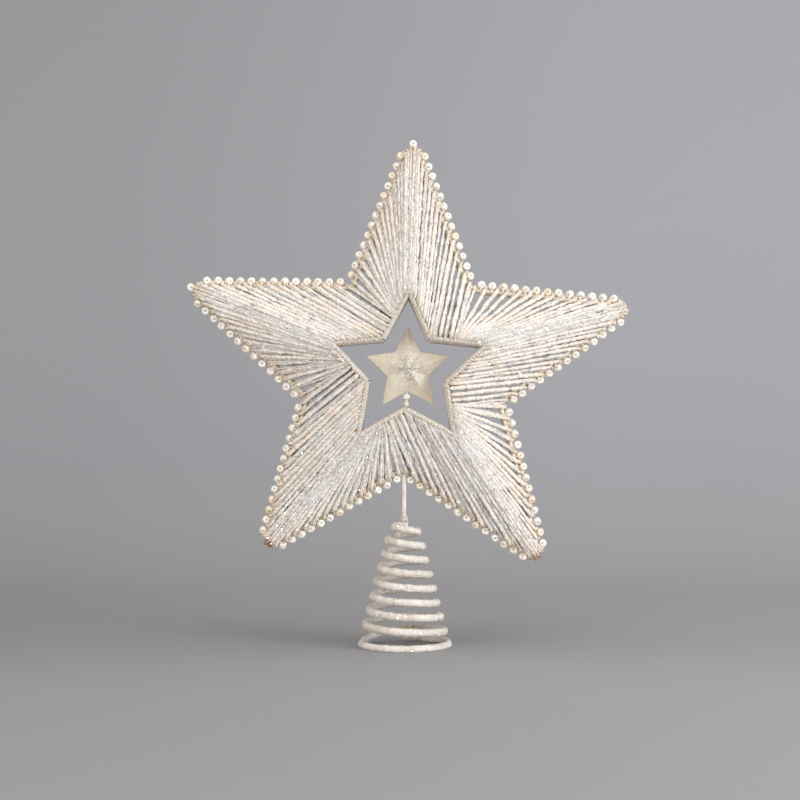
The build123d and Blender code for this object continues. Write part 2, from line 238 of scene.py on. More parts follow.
profile = [(SWEEP_NEAR, 0.0), (SWEEP_BEND_START, 0.0)]
for step in range(1, SWEEP_BEND_STEPS + 1):
    turn = pi / 2 * step / SWEEP_BEND_STEPS
    profile.append((SWEEP_BEND_START + SWEEP_BEND * sin(turn), SWEEP_BEND * (1 - cos(turn))))
profile.append((SWEEP_BEND_START + SWEEP_BEND, SWEEP_TOP))
sweep_points, sweep_faces = [], []
for column in range(SWEEP_COLUMNS + 1):
    across = SWEEP_HALF_WIDTH * (2 * column / SWEEP_COLUMNS - 1)
    sweep_points += [(across, depth, height) for depth, height in profile]
for column in range(SWEEP_COLUMNS):
    for row in range(len(profile) - 1):
        first = column * len(profile) + row
        sweep_faces.append((first, first + len(profile), first + len(profile) + 1, first + 1))
sweep_mesh = new_mesh("sweep", sweep_points, (), sweep_faces)
sweep_mesh.shade_smooth()
sweep = put("sweep", sweep_mesh)
print("sweep points:", len(sweep_points))

# %% [markdown]
# The sheet is grey paper. Its tone fades from side to side and from near to far, as the picture's does:
# light and shade are painted into the grey, lighter on the right, the key lamp's side, and darker in a
# band at and just behind the object's foot. So a few pairs of greys are mixed by place. Its back is left
# clear, so that the star can be looked at from behind too.

# %% Sweep's material
# Painted light and shade: each pair runs from a painted-shade grey on the left to a lighter grey on the key
# lamp's side.
SIDE_FADE, MIDDLE_FADE, FAR_FADE, WALL_FADE = (-0.24, 0.16), (-0.14, 0.02), (0.04, 0.2), (0.0, 0.07)
SWEEP_LIT_AND_SHADED_GREYS = {"near": ((159, 160, 162), (169, 168, 171)), "middle": ((151, 151, 153), (164, 163, 165)),
               "far": ((158, 158, 159), (168, 166, 167)), "wall": ((154, 155, 160), (164, 165, 170))}


def new_material(name, plain):
    """A material: its wiring, and its shader's inputs with the plain values set."""
    material = bpy.data.materials.new(name)
    material.use_nodes = True
    shader = material.node_tree.nodes["Principled BSDF"].inputs
    for label, value in plain.items():
        shader[label].default_value = value
    print("material:", name)
    return material, Wiring(material.node_tree), shader


sweep_material, work, shader = new_material("sweep_paper", {"Roughness": 0.9, "Specular IOR Level": 0.1})
place = work.split(work.here())
sideways = work.spread(place[0], SIDE_FADE)
tones = {}
for name, (left, right) in SWEEP_LIT_AND_SHADED_GREYS.items():
    tones[name] = work.mix(sideways, colour(*left), colour(*right))
# Painted shade: the middle greys are darker, a band at the object's foot, and the far greys are lighter
# again.
tone = work.mix(work.spread(place[1], MIDDLE_FADE), tones["near"], tones["middle"])
tone = work.mix(work.spread(place[1], FAR_FADE), tone, tones["far"])
tone = work.mix(work.spread(place[2], WALL_FADE), tone, tones["wall"])
work.feed(shader["Base Color"], tone)
seen_from_behind = work.add("ShaderNodeNewGeometry").outputs["Backfacing"]
clear_back = work.get("ShaderNodeMixShader", {
    0: seen_from_behind, 1: work.tree.nodes["Principled BSDF"].outputs[0],
    2: work.get("ShaderNodeBsdfTransparent")})
work.feed(work.tree.nodes["Material Output"].inputs["Surface"], clear_back)
sweep_mesh.materials.append(sweep_material)
print("sweep nodes:", len(work.tree.nodes))

# %% [markdown]
# A large soft lamp on the viewer's right lights the right-hand faces of the arms, as the picture shows.
# A slightly weaker, warmer one on the left, a lamp above and the world's even grey open the shadows. Their
# levels are set so that a white surface that faces the front comes out just under white.

# %% Lights
LAMP_AIM, TOP_AIM = Vector((0.0, 0.0, 0.13)), Vector((0.0, 0.05, 0.0))
WORLD_TINT, WORLD_STRENGTH = (1.0, 0.99, 0.98, 1.0), 0.6


def soft_lamp(name, place, aim, side, power, tint):
    data = bpy.data.lights.new(name, "AREA")
    data.shape = "SQUARE"
    data.size = side
    data.energy = power
    data.color = tint
    lamp = put(name, data)
    lamp.location = place
    lamp.rotation_euler = (aim - Vector(place)).to_track_quat("-Z", "Y").to_euler()


soft_lamp("key_lamp", (1.05, -0.75, 0.24), LAMP_AIM, side=0.7, power=14.5, tint=(0.98, 0.99, 1.0))
soft_lamp("fill_lamp", (-0.9, -1.1, 0.14), LAMP_AIM, side=1.0, power=13.5, tint=(1.0, 0.89, 0.78))
soft_lamp("top_lamp", (0.1, -0.2, 1.5), TOP_AIM, side=1.2, power=4.0, tint=(1.0, 1.0, 1.0))
world = bpy.data.worlds.new("studio_world")
scene.world = world
world.use_nodes = True
background = world.node_tree.nodes["Background"].inputs
background["Color"].default_value = WORLD_TINT
background["Strength"].default_value = WORLD_STRENGTH
scene.view_settings.view_transform = "Standard"

# %% [markdown]
# Old white thread, paint and glue do not age evenly: they yellow in patches. One shader group makes
# that ageing for every material that needs it. It mixes a fresh and an aged colour by two noises, a
# wide one for patches and a fine one for specks, both on the object's own coordinates.

# %% Group for ageing
SPECKS_IN_PATCH, PATCH_WEIGHT, SPECK_WEIGHT = 9.0, 0.75, 0.35


def socket_kind(value):
    """The kind of socket for a plain value; a word is the kind itself."""
    if isinstance(value, str):
        return "NodeSocket" + value
    if isinstance(value, tuple):
        return "NodeSocketColor" if len(value) == 4 else "NodeSocketVector"
    return "NodeSocketInt" if isinstance(value, int) else "NodeSocketFloat"


def new_group(name, kind, inputs, outputs):
    """A node group with named sockets: its wiring, what its inputs give and what its outputs take."""
    tree = bpy.data.node_groups.new(name, kind)
    for label, value in inputs.items():
        made = tree.interface.new_socket(label, in_out="INPUT", socket_type=socket_kind(value))
        if not isinstance(value, str):
            made.default_value = value
    for label, word in outputs.items():
        tree.interface.new_socket(label, in_out="OUTPUT", socket_type=socket_kind(word))
    work = Wiring(tree)
    return work, work.add("NodeGroupInput").outputs, work.add("NodeGroupOutput").inputs


ageing, give, take = new_group("ageing", "ShaderNodeTree", {
    "Fresh": (1.0, 1.0, 1.0, 1.0), "Aged": (0.5, 0.4, 0.3, 1.0), "Patch Scale": 60.0, "Amount": 0.5},
    {"Color": "Color", "Mask": "Float"})
where = ageing.here()
patches = ageing.noise(where, give["Patch Scale"], detail=4.0, roughness=0.6)
specks = ageing.noise(where, ageing.times(give["Patch Scale"], SPECKS_IN_PATCH), detail=2.0)
patch_mask = ageing.times(ageing.spread(patches, (0.38, 0.68)), PATCH_WEIGHT)
speck_mask = ageing.times(ageing.spread(specks, (0.5, 0.75)), SPECK_WEIGHT)
mask = ageing.reckon("MINIMUM", ageing.times(ageing.plus(patch_mask, speck_mask), give["Amount"]), 1.0)
ageing.feed(take["Mask"], mask)
ageing.feed(take["Color"], ageing.mix(mask, give["Fresh"], give["Aged"]))
print("group:", ageing.tree.name, len(ageing.tree.nodes), "nodes")

# %% [markdown]
# Thread is made of fibres that lie along it and turn round it. A second group draws them. It reads two
# attributes that the yarn's own mesh carries, the length along the yarn and the share of the way round
# it, so the fibres follow every bend. It puts out a height for the bump and a painted shade for the colour,
# darker where the fibres dip, as shade falls between them.

# %% Group for fibres
fibres, give, take = new_group("yarn_fibres", "ShaderNodeTree", {
    "Fibre Count": 9.0, "Stretch": 260.0, "Slant": 180.0}, {"Height": "Float", "Shade": "Float"})
along, around = fibres.attribute("yarn_along"), fibres.attribute("yarn_around")
turn = fibres.times(fibres.plus(around, fibres.times(along, give["Slant"])), 2 * pi)
ring = fibres.reckon("DIVIDE", give["Fibre Count"], 2 * pi)
grid = fibres.xyz(
    fibres.times(fibres.reckon("COSINE", turn), ring), fibres.times(fibres.reckon("SINE", turn), ring),
    fibres.times(along, give["Stretch"]))
strand_noise = fibres.noise(grid, scale=2.2, detail=3.0)
fibres.feed(take["Height"], strand_noise)
fibres.feed(take["Shade"], fibres.spread(strand_noise, (0.3, 0.6), (0.9, 1.0)))
print("group:", fibres.tree.name, len(fibres.tree.nodes), "nodes")

# %% [markdown]
# The wire's bare ends at the two lower tips have rusted, and the thread that lies on them has taken the
# stain. A third group gives that stain as a mask: full close to either tip, and nothing further in.

# %% Group for rusty tips
RUSTY_CORNERS = (4, 6)
RUST = colour(150, 98, 70)

tip_rust, give, take = new_group(
    "tip_rust", "ShaderNodeTree", {"Near": 0.004, "Far": 0.0075}, {"Mask": "Float"})
where = tip_rust.here()
mask = 0.0
for number in RUSTY_CORNERS:
    away = tip_rust.distance(where, outer_corner(number))
    mask = tip_rust.reckon("MAXIMUM", mask, tip_rust.spread(away, (give["Near"], give["Far"]), (1.0, 0.0)))
tip_rust.feed(take["Mask"], mask)
print("group:", tip_rust.tree.name, len(tip_rust.tree.nodes), "nodes")

# %% [markdown]
# The thread itself is cream white. It yellows in patches, and near the wires it is browner, where glue
# has soaked in; the winding's mesh carries that nearness as an attribute. The surface is dull, with the
# faint glow at grazing angles that loose fibres give, and some light soaks through it.

# %% Thread material
GLUE_TINT, RUST_ON_THREAD = colour(212, 180, 138), 0.8


def bump(work, shader, height, strength, distance):
    made = work.add("ShaderNodeBump", {"Height": height, "Strength": strength, "Distance": distance})
    work.feed(shader["Normal"], made.outputs["Normal"])


thread_material, work, shader = new_material("glittered_thread", {
    "Subsurface Weight": 0.55, "Subsurface Radius": (1.0, 0.75, 0.55), "Subsurface Scale": 1.5 * MM,
    "Sheen Weight": 0.2, "Sheen Roughness": 0.4, "Specular IOR Level": 0.3})
age = work.group(ageing, {
    "Fresh": colour(245, 237, 230), "Aged": colour(231, 212, 196), "Patch Scale": 75.0, "Amount": 0.6})
fibre = work.group(fibres)
soaked = work.spread(work.noise(work.here(), scale=240.0, detail=3.0), (0.35, 0.7), (0.15, 0.75))
tint = work.mix(work.times(work.attribute("wire_nearness"), soaked), age["Color"], GLUE_TINT)
rust = work.group(tip_rust, {"Near": 3.6 * MM, "Far": 6.0 * MM})
tint = work.mix(work.times(rust["Mask"], RUST_ON_THREAD), tint, RUST)
# Painted shade: the fibre shade darkens the colour where the fibres dip.
shade = work.get("ShaderNodeCombineColor", dict.fromkeys(range(3), fibre["Shade"]))
work.feed(shader["Base Color"], work.mix(1.0, tint, shade, "MULTIPLY"))
work.feed(shader["Roughness"], work.spread(fibre["Height"], (0.3, 0.7), (0.62, 0.9)))
bump(work, shader, fibre["Height"], strength=0.45, distance=0.1 * MM)
print("thread nodes:", len(work.tree.nodes))

# %% [markdown]
# Glitter is cut foil: small flat flakes that mirror the light when they happen to face it and look grey
# when they do not. The flakes are real faces here, so the sparkle moves as the star turns. Each flake
# carries a random number that picks its foil, mostly silver white, with some pale gold. The dust on the
# small star is a greyer foil.

# %% Glitter materials
def ramp(work, fac, stops, interpolation):
    """A colour ramp made from pairs of a position and a colour."""
    made = work.add("ShaderNodeValToRGB", {"Fac": fac})
    made.color_ramp.interpolation = interpolation
    made.color_ramp.elements.remove(made.color_ramp.elements[1])
    made.color_ramp.elements[0].color = stops[0][1]
    for position, tone in stops[1:]:
        made.color_ramp.elements.new(position).color = tone
    return made.outputs["Color"]


def foil_material(name, stops):
    material, work, shader = new_material(name, {"Metallic": 0.7})
    pick = work.attribute("flake_pick")
    work.feed(shader["Base Color"], ramp(work, pick, stops, "CONSTANT"))
    work.feed(shader["Roughness"], work.spread(pick, (0.0, 1.0), (0.16, 0.42)))
    return material


glitter_material = foil_material("foil_glitter", (
    (0.0, colour(252, 251, 249)), (0.4, colour(226, 225, 227)), (0.72, colour(196, 193, 194)),
    (0.9, colour(230, 212, 188)), (0.97, colour(168, 146, 126))))
silver_material = foil_material("silver_dust", (
    (0.0, colour(226, 226, 222)), (0.25, colour(176, 178, 174)), (0.6, colour(138, 140, 134)),
    (0.92, colour(198, 182, 150))))

# %% [markdown]
# The frame is steel wire under thin white paint. The paint is dull, a little lumpy, yellow in patches and
# worn to rusty metal in spots, most of all at the two lower tips, where the wire's ends show red-brown.

# %% Painted wire material
RUST_ON_PAINT = 0.85


def coat(material, *names):
    """Gives CAD nodes a finish."""
    for name in names:
        nodes[name].data.materials.clear()
        nodes[name].data.materials.append(material)
    print(material.name, "on CAD nodes:", len(names))


wire_material, work, shader = new_material("painted_wire", {})
age = work.group(ageing, {
    "Fresh": colour(243, 236, 225), "Aged": colour(222, 201, 170), "Patch Scale": 110.0, "Amount": 0.8})
lumps = work.noise(work.here(), scale=420.0, detail=4.0)
rusty_tips = work.group(tip_rust, {"Near": 4.0 * MM, "Far": 7.5 * MM})
rust = work.reckon("MAXIMUM", work.spread(lumps, (0.7, 0.76)), work.times(rusty_tips["Mask"], RUST_ON_PAINT))
work.feed(shader["Base Color"], work.mix(rust, age["Color"], RUST))
work.feed(shader["Roughness"], work.spread(lumps, (0.3, 0.7), (0.42, 0.68)))
bump(work, shader, lumps, strength=0.4, distance=0.1 * MM)
coat(wire_material, "outer_frame", "front_inner_frame", "rear_inner_frame", "front_struts", "rear_struts")

# %% [markdown]
# The beads are tied on with bare tinned wire, and the small star hangs on a pin of the same wire. Tinned
# wire is a dull silver that yellows in patches.

# %% Tinned wire material
tinned_material, work, shader = new_material("tinned_wire", {"Metallic": 0.35})
age = work.group(ageing, {
    "Fresh": colour(246, 240, 230), "Aged": colour(220, 206, 184), "Patch Scale": 200.0, "Amount": 0.6})
work.feed(shader["Base Color"], age["Color"])
work.feed(shader["Roughness"], work.spread(age["Mask"], (0.0, 0.6), (0.3, 0.55)))
coat(tinned_material, "star_pin")

# %% [markdown]
# Three kinds of piece are grown by geometry trees: yarn, beads and glitter dust. Their wiring needs a few
# more calls, for attributes, random values and turns. All the random values have a fixed seed.

# %% Helpers for geometry trees
class ShapeWiring(Wiring):
    """The wiring of a geometry tree."""

    def shape(self, kind, inputs=None, **settings):
        return self.get("GeometryNode" + kind, inputs, **settings)

    def named(self, name):
        return self.add("GeometryNodeInputNamedAttribute", {"Name": name}).outputs["Attribute"]

    def store(self, geometry, name, value, **settings):
        inputs = {"Geometry": geometry, "Name": name, "Value": value}
        return self.shape("StoreNamedAttribute", inputs, **settings)

    def between(self, low, high, seed):
        """A random vector between two tuples, or else a random number between two ends."""
        if isinstance(low, tuple):
            inputs = {0: low, 1: high, "Seed": seed}
            return self.add("FunctionNodeRandomValue", inputs, data_type="FLOAT_VECTOR").outputs[0]
        inputs = {2: low, 3: high, "Seed": seed}
        return self.add("FunctionNodeRandomValue", inputs, data_type="FLOAT").outputs[1]

    def rotation(self, euler):
        return self.get("FunctionNodeEulerToRotation", {"Euler": euler})

    def turned(self, start, euler):
        inputs = {"Rotation": start, "Rotate By": self.rotation(euler)}
        return self.get("FunctionNodeRotateRotation", inputs, rotation_space="LOCAL")


def new_shape_tree(name, inputs, output):
    work, give, take = new_group(name, "GeometryNodeTree", inputs, {output: "Geometry"})
    return ShapeWiring(work.tree), give, take


print("calls for geometry trees:", [name for name in vars(ShapeWiring) if not name.startswith("_")])

# %% [markdown]
# Everything wound is one idea: a line of points becomes a yarn. A geometry tree does it. It resamples
# the line, lets it wander a little, swells and thins it as spun thread does, and sweeps a flattened
# ring along it that turns as it goes, so the two plies show as a twist. One tree serves thread, sleeve
# and wire, because only its inputs differ.

# %% Geometry tree for yarn: the swept ring
SEED_STRIDE, WANDER_WAVES, SLUB_WAVES = 7.31, 70.0, 260.0
NOISE_MIDDLE, NOISE_RANGE = (0.5, 0.5, 0.5), (0.25, 0.75)

yarn, give, take = new_shape_tree("wound_yarn", {
    "Line": "Geometry", "Yarn Width": 0.0013, "Step": 0.0008, "Ply Turn": 0.006, "Slub": 0.2,
    "Wander": 0.0002, "Flatness": 0.2, "Ring Points": 8, "Flake Size": 0.0003, "Flake Density": 300000.0,
    "Fibre Density": 100000.0, "Floor": -1.0, "Seed": 1, "Yarn Finish": "Material",
    "Flake Finish": "Material"}, "Yarn")
line = yarn.shape("MeshToCurve", {"Mesh": give["Line"]})
line = yarn.shape("ResampleCurve", {"Curve": line, "Length": give["Step"]}, mode="LENGTH")
length = yarn.add("GeometryNodeSplineParameter").outputs["Length"]
line = yarn.store(line, "yarn_along", length)
seed_shift = yarn.times(give["Seed"], SEED_STRIDE)


def noise_along(waves, detail):
    """Noise that changes along the yarn, and is another for each seed."""
    inputs = {"W": yarn.plus(yarn.times(length, waves), seed_shift), "Scale": 1.0, "Detail": detail}
    return yarn.add("ShaderNodeTexNoise", inputs, noise_dimensions="1D").outputs


offset = yarn.vector("SUBTRACT", noise_along(WANDER_WAVES, detail=1.0)["Color"], NOISE_MIDDLE)
offset = yarn.vector("SCALE", offset, yarn.times(give["Wander"], 2.0))
line = yarn.shape("SetPosition", {"Geometry": line, "Offset": offset})
tilt = yarn.times(yarn.reckon("DIVIDE", length, give["Ply Turn"]), 2 * pi)
line = yarn.shape("SetCurveTilt", {"Curve": line, "Tilt": tilt})
thinnest, thickest = yarn.reckon("SUBTRACT", 1.0, give["Slub"]), yarn.plus(1.0, give["Slub"])
swell = yarn.spread(noise_along(SLUB_WAVES, detail=2.0)["Fac"], NOISE_RANGE, (thinnest, thickest))
half_width = yarn.times(yarn.times(yarn.times(give["Yarn Width"], 0.5), yarn.named("width_share")), swell)
ring = yarn.shape("CurvePrimitiveCircle", {"Resolution": give["Ring Points"], "Radius": 1.0})
ring = yarn.store(ring, "yarn_around", yarn.add("GeometryNodeSplineParameter").outputs["Factor"])
flattened = yarn.xyz(yarn.plus(1.0, give["Flatness"]), yarn.reckon("SUBTRACT", 1.0, give["Flatness"]), 1.0)
ring = yarn.shape("Transform", {"Geometry": ring, "Scale": flattened})
swept = yarn.shape("CurveToMesh", {
    "Curve": line, "Profile Curve": ring, "Scale": half_width, "Fill Caps": True})
swept = yarn.shape("SetShadeSmooth", {"Geometry": swept, "Shade Smooth": True})
print("tree:", yarn.tree.name, len(yarn.tree.nodes), "nodes so far")

# %% [markdown]
# Glitter flakes and loose fibres are strewn over the yarn. Each is one flat shape with a few corners,
# because there are thousands of them. The copies are made real, nothing is left below the floor (for the
# spring that is the table), and flakes and yarn get their own finishes.

# %% Geometry tree for yarn: flakes and fibres
FLAKE_CORNERS, FLAKE_TILT, SMALLEST_FLAKE_SHARE = 5, 0.75, 0.5
FIBRE_LENGTHS, FIBRE_SLIMNESS, FIBRE_TILT = (0.6 * MM, 1.8 * MM), 0.04, 1.2
SIZE_SEED, PICK_SEED, FIBRE_SEED = 11, 23, 5


def scatter(work, surface, shape, density, sizes, tilt, seed):
    """Strews a flat shape over a surface, each copy tilted and sized at random."""
    strewn = work.add("GeometryNodeDistributePointsOnFaces", {
        "Mesh": surface, "Density": density, "Seed": seed}).outputs
    lean = work.between((-tilt, -tilt, -pi), (tilt, tilt, pi), seed)
    return work.shape("InstanceOnPoints", {
        "Points": strewn["Points"], "Instance": shape, "Rotation": work.turned(strewn["Rotation"], lean),
        "Scale": work.between(*sizes, work.plus(seed, SIZE_SEED))})


def strew_flakes(work, give, surface, density, smallest_share):
    """Strews glitter. Each flake has a random number that picks its foil, and a mark for its finish."""
    shape = work.shape("MeshCircle", {"Vertices": FLAKE_CORNERS, "Radius": 1.0}, fill_type="NGON")
    sizes = (work.times(give["Flake Size"], smallest_share), give["Flake Size"])
    flakes = scatter(work, surface, shape, density, sizes, FLAKE_TILT, give["Seed"])
    pick = work.between(0.0, 1.0, work.plus(give["Seed"], PICK_SEED))
    flakes = work.store(flakes, "flake_pick", pick, domain="INSTANCE")
    return work.store(flakes, "flake_mark", 1.0, domain="INSTANCE")


def joined(work, parts):
    """Joins parts and makes their copies real."""
    whole = work.add("GeometryNodeJoinGeometry")
    for part in parts:
        work.feed(whole.inputs[0], part)
    return work.shape("RealizeInstances", {"Geometry": whole.outputs[0]})


def finished(work, parts, flake_finish, finish=None):
    """Joins parts, and sets the finish of the flakes apart from the rest."""
    whole = joined(work, parts)
    if finish:
        whole = work.shape("SetMaterial", {"Geometry": whole, "Material": finish})
    flaky = work.get("FunctionNodeCompare", {0: work.named("flake_mark"), 1: 0.5}, operation="GREATER_THAN")
    return work.shape("SetMaterial", {"Geometry": whole, "Selection": flaky, "Material": flake_finish})


flakes = strew_flakes(yarn, give, swept, give["Flake Density"], SMALLEST_FLAKE_SHARE)
fibre_shape = yarn.shape("MeshGrid", {
    "Size X": 1.0, "Size Y": FIBRE_SLIMNESS, "Vertices X": 3, "Vertices Y": 2})
loose = scatter(yarn, swept, fibre_shape, give["Fibre Density"], FIBRE_LENGTHS, FIBRE_TILT,
                yarn.plus(give["Seed"], FIBRE_SEED))
whole = joined(yarn, (loose, flakes, swept))
place = yarn.split(yarn.shape("InputPosition"))
stood = yarn.xyz(place[0], place[1], yarn.reckon("MAXIMUM", place[2], give["Floor"]))
whole = yarn.shape("SetPosition", {"Geometry": whole, "Position": stood})
yarn.feed(take["Yarn"], finished(yarn, (whole,), give["Flake Finish"], give["Yarn Finish"]))
print("tree:", yarn.tree.name, len(yarn.tree.nodes), "nodes")

# %% [markdown]
# A route is a list of points, each with the yarn's width share and its nearness to a wire. It becomes
# a chain of edges that carries both as attributes. The tree runs on the chain, and the result is
# copied out as a plain mesh, which is the piece that rides on a body.

# %% Helpers for wound pieces
def chain(name, routes):
    steps, links = [], []
    for route in routes:
        links += [(len(steps) + i, len(steps) + i + 1) for i in range(len(route) - 1)]
        steps += route
    mesh = new_mesh(name, [point for point, _, _ in steps], links)
    for attribute, place in (("width_share", 1), ("wire_nearness", 2)):
        layer = mesh.attributes.new(attribute, "FLOAT", "POINT")
        layer.data.foreach_set("value", [step[place] for step in steps])
    return put(name + "_line", mesh)


def plain_mesh(source):
    return bpy.data.meshes.new_from_object(source.evaluated_get(bpy.context.evaluated_depsgraph_get()))


def grown(name, source, tree, values):
    """Runs a geometry tree on a source object and returns the result as a plain mesh object."""
    modifier = source.modifiers.new("grow", "NODES")
    modifier.node_group = tree
    for item in tree.interface.items_tree:
        if item.item_type == "SOCKET" and item.in_out == "INPUT" and item.name in values:
            modifier[item.identifier] = values[item.name]
    mesh = plain_mesh(source)
    mesh.name = name
    source.modifiers.remove(modifier)
    bpy.data.objects.remove(source)
    return put(name, mesh)


def settle(piece, body, slot, *replaced):
    """Hangs a finished piece on the body it rides on, and hides the CAD nodes that it stands for. The slot is
    not used.
    """
    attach(piece, body)
    if replaced:
        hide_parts(*replaced)
    print(piece.name, "faces:", len(piece.data.polygons), "on", body)


def wind(name, routes, values):
    return grown(name, chain(name, routes), yarn.tree, values)


print("inputs of the yarn:", [item.name for item in yarn.tree.interface.items_tree if item.in_out == "INPUT"])

# %% [markdown]
# Each half arm is wound with one thread. Straight tubes side by side would be simpler, but one long route
# shows how the thread turns round every wire. It goes round the outer wire between two beads, over the front
# to the opening's front wire, back through the opening to the rear wire, and up behind the arm again. It
# comes back to the gap it left, so light falls through the slits, and it steps on behind the wire.
# The strands slant: their inner ends run ahead of their outer ends, clockwise, so on one side of an arm
# they crowd at the opening's tip and on the other they pass the opening's notch.

# %% Places on the wires
GAPS = 13
TIP_MARGIN, NOTCH_MARGIN = 5.6 * MM, 3.4 * MM
FRAME_BEND, INNER_BEND = 2.0 * MM, 1.5 * MM


def square_to(way, line):
    """The part of a way that is square to a line, as a unit vector."""
    return (way - line * way.dot(line)).normalized()


def edge_line(arm, side):
    """Straight outer edge of one half arm: its tip, its way to the notch, and its length."""
    tip, notch = outer_corner(2 * arm), outer_corner(2 * arm + side)
    return tip, (notch - tip).normalized(), (notch - tip).length


def gap_pitch(length):
    return (length - TIP_MARGIN - NOTCH_MARGIN) / GAPS


def gap_place(arm, side, number):
    """Place on the outer wire's centre line, counted in bead gaps from the tip."""
    tip, way, length = edge_line(arm, side)
    return tip + way * (TIP_MARGIN + gap_pitch(length) * number)


def inner_place(arm, side, distance, face):
    """Place and way on an inner wire, at a distance from an arm's tip and past the notch if need be."""
    tip, notch, beyond = (inner_corner(2 * arm + side * step, face * INNER_RISE) for step in range(3))
    length = (notch - tip).length
    if distance < length:
        way = (notch - tip).normalized()
        return tip + way * distance, way
    way = (beyond - notch).normalized()
    return notch + way * (distance - length), way


def bend_place(arm, side, outline, depth, bend, turn):
    """Place and way of a wire on the bend at its tip, turned from the tip's middle to one side."""
    tip = star_corner(2 * arm, outline, depth)
    way = (star_corner(2 * arm + side, outline, depth) - tip).normalized()
    other_way = (star_corner(2 * arm - side, outline, depth) - tip).normalized()
    inward = (way + other_way).normalized()
    sideways = square_to(way, inward)
    middle = tip + inward * (bend / sin(way.angle(inward)))
    place = middle + (sideways * sin(turn) - inward * cos(turn)) * bend
    return place, sideways * cos(turn) + inward * sin(turn)


print("pitch of the gaps on the top arm:", round(gap_pitch(edge_line(0, 1)[2]) / MM, 2), "mm")

# %% [markdown]
# The strands are not even. Each one strays a little and has its own width. A second, thinner strand lies in
# some of the gaps, and two more on each side fill the arm's ridge, where no bead is in the way. The six
# halves that look left or down are wound fuller, with a thin strand on both sides of most others.

# %% Passes of the thread
INNER_TIP_MARGIN, INNER_LEAD_SHARE = 3.0 * MM, 0.42
NOTCH_PASS, STEM_PASS, STEM_NOTCH = 0.8 * MM, 1.6 * MM, 5
RIDGE_TURNS = ((radians(20), radians(8)), (radians(56), radians(38)))
FULLER_HALVES = ((0, -1), (2, 1), (3, -1), (3, 1), (4, -1), (4, 1))
THIN_CHANCE, FULL_CHANCE, THIN_APART, THIN_SHARE = 0.45, 0.85, 1.45 * MM, 0.6
OUTER_STRAY, INNER_STRAY, THIN_STRAY = 0.5 * MM, 0.6 * MM, (0.2 * MM, 1.4 * MM)
RIDGE_WIDTHS, STRAND_WIDTHS, THIN_WIDTHS, NOTCH_WIDTHS = (0.7, 0.9), (0.8, 1.15), (0.8, 1.3), (0.7, 0.95)


def passes(arm, side, luck):
    """Each pass of the thread: place and way on the outer, front and rear wires, and its width share."""
    outer_tip, outer_way, outer_length = edge_line(arm, side)
    inner_tip, inner_notch, beyond = (inner_corner(2 * arm + side * step) for step in range(3))
    led_edge = beyond - inner_notch if side > 0 else inner_notch - inner_tip
    inner_lead = side * INNER_LEAD_SHARE * led_edge.length
    inner_reach = (inner_notch - inner_tip).length + inner_lead - INNER_TIP_MARGIN
    made = []
    for outer_turn, inner_turn in RIDGE_TURNS:
        start = bend_place(arm, side, OUTER_OUTLINE, 0.0, FRAME_BEND, outer_turn)
        ends = []
        for face in (-1, 1):
            ends.append(bend_place(arm, side, INNER_OUTLINE, face * INNER_RISE, INNER_BEND, inner_turn))
        made.append((start, *ends, luck.uniform(*RIDGE_WIDTHS)))
    fuller = (arm, side) in FULLER_HALVES
    chance = FULL_CHANCE if fuller else THIN_CHANCE
    runs = []
    for number in range(GAPS + 1):
        outer = TIP_MARGIN + gap_pitch(outer_length) * number
        inner = INNER_TIP_MARGIN + inner_reach * number / GAPS
        runs.append((outer + luck.uniform(-OUTER_STRAY, OUTER_STRAY),
                     inner + luck.uniform(-INNER_STRAY, INNER_STRAY), luck.uniform(*STRAND_WIDTHS)))
        for way in (1, -1) if fuller else (1,):
            if luck.random() < chance and number < GAPS:
                thin_inner = inner + way * luck.uniform(*THIN_STRAY)
                runs.append((outer + way * THIN_APART, thin_inner, THIN_SHARE * luck.uniform(*THIN_WIDTHS)))
    last = STEM_PASS if (2 * arm + side) % CORNERS == STEM_NOTCH else NOTCH_PASS
    runs.append((outer_length - last, INNER_TIP_MARGIN + inner_reach, luck.uniform(*NOTCH_WIDTHS)))
    runs.sort()
    for outer, inner, width in runs:
        ends = [inner_place(arm, side, inner, face) for face in (-1, 1)]
        made.append(((outer_tip + outer_way * max(outer, TIP_MARGIN), outer_way), *ends, width))
    return made


print("passes on the left arm's upper half:", len(passes(4, 1, random.Random(1))))

# %% [markdown]
# A pass becomes points: an arc round the outer wire, a straight strand, an arc over each inner wire, and a
# strand back. On the inner wires the thread is pressed thin, and some strands lie on top of others. Close
# to a wire the points carry more nearness, for the glue in the thread's material.

# %% Route of a winding
THREAD_WIDTH, PRESSED_SHARE, TOP_LAYER = 1.95 * MM, 0.36, 0.7 * MM
ARC_STEPS, GLUE_REACH, INNER_GLUE = 6, 3.0 * MM, 0.6
STRAND_SHARES = (0.03, 0.09, 0.2, 0.35, 0.5, 0.65, 0.8, 0.91, 0.97)


def arc(middle, start_way, end_way, radius):
    """Points round a wire, turning from one way to another."""
    turn = start_way.angle(end_way)
    points = []
    for step in range(ARC_STEPS + 1):
        share = step / ARC_STEPS
        way = (start_way * sin((1 - share) * turn) + end_way * sin(share * turn)) / sin(turn)
        points.append(middle + way * radius)
    return points


def strand(start, end, width):
    """Steps of a route between two wires, each with its nearness to the wires."""
    length = (end - start).length
    for share in STRAND_SHARES:
        yield start.lerp(end, share), width, exp(-min(share, 1 - share) * length / GLUE_REACH)


def lifts(outer, inner, face):
    """Ways from the wires' middles to a strand on one face, and to the opening's wall."""
    (outer_place, outer_way), (inner_place, inner_way) = outer, inner
    towards = Vector((0, face, 0))
    run = inner_place - outer_place
    inward = square_to(run, outer_way)
    outward = square_to(-run, inner_way)
    outer_lift = square_to(towards - inward * towards.dot(inward), outer_way)
    inner_lift = square_to(towards - outward * towards.dot(outward), inner_way)
    wall = square_to(run - towards * run.dot(towards), inner_way)
    return outer_lift, inner_lift, wall


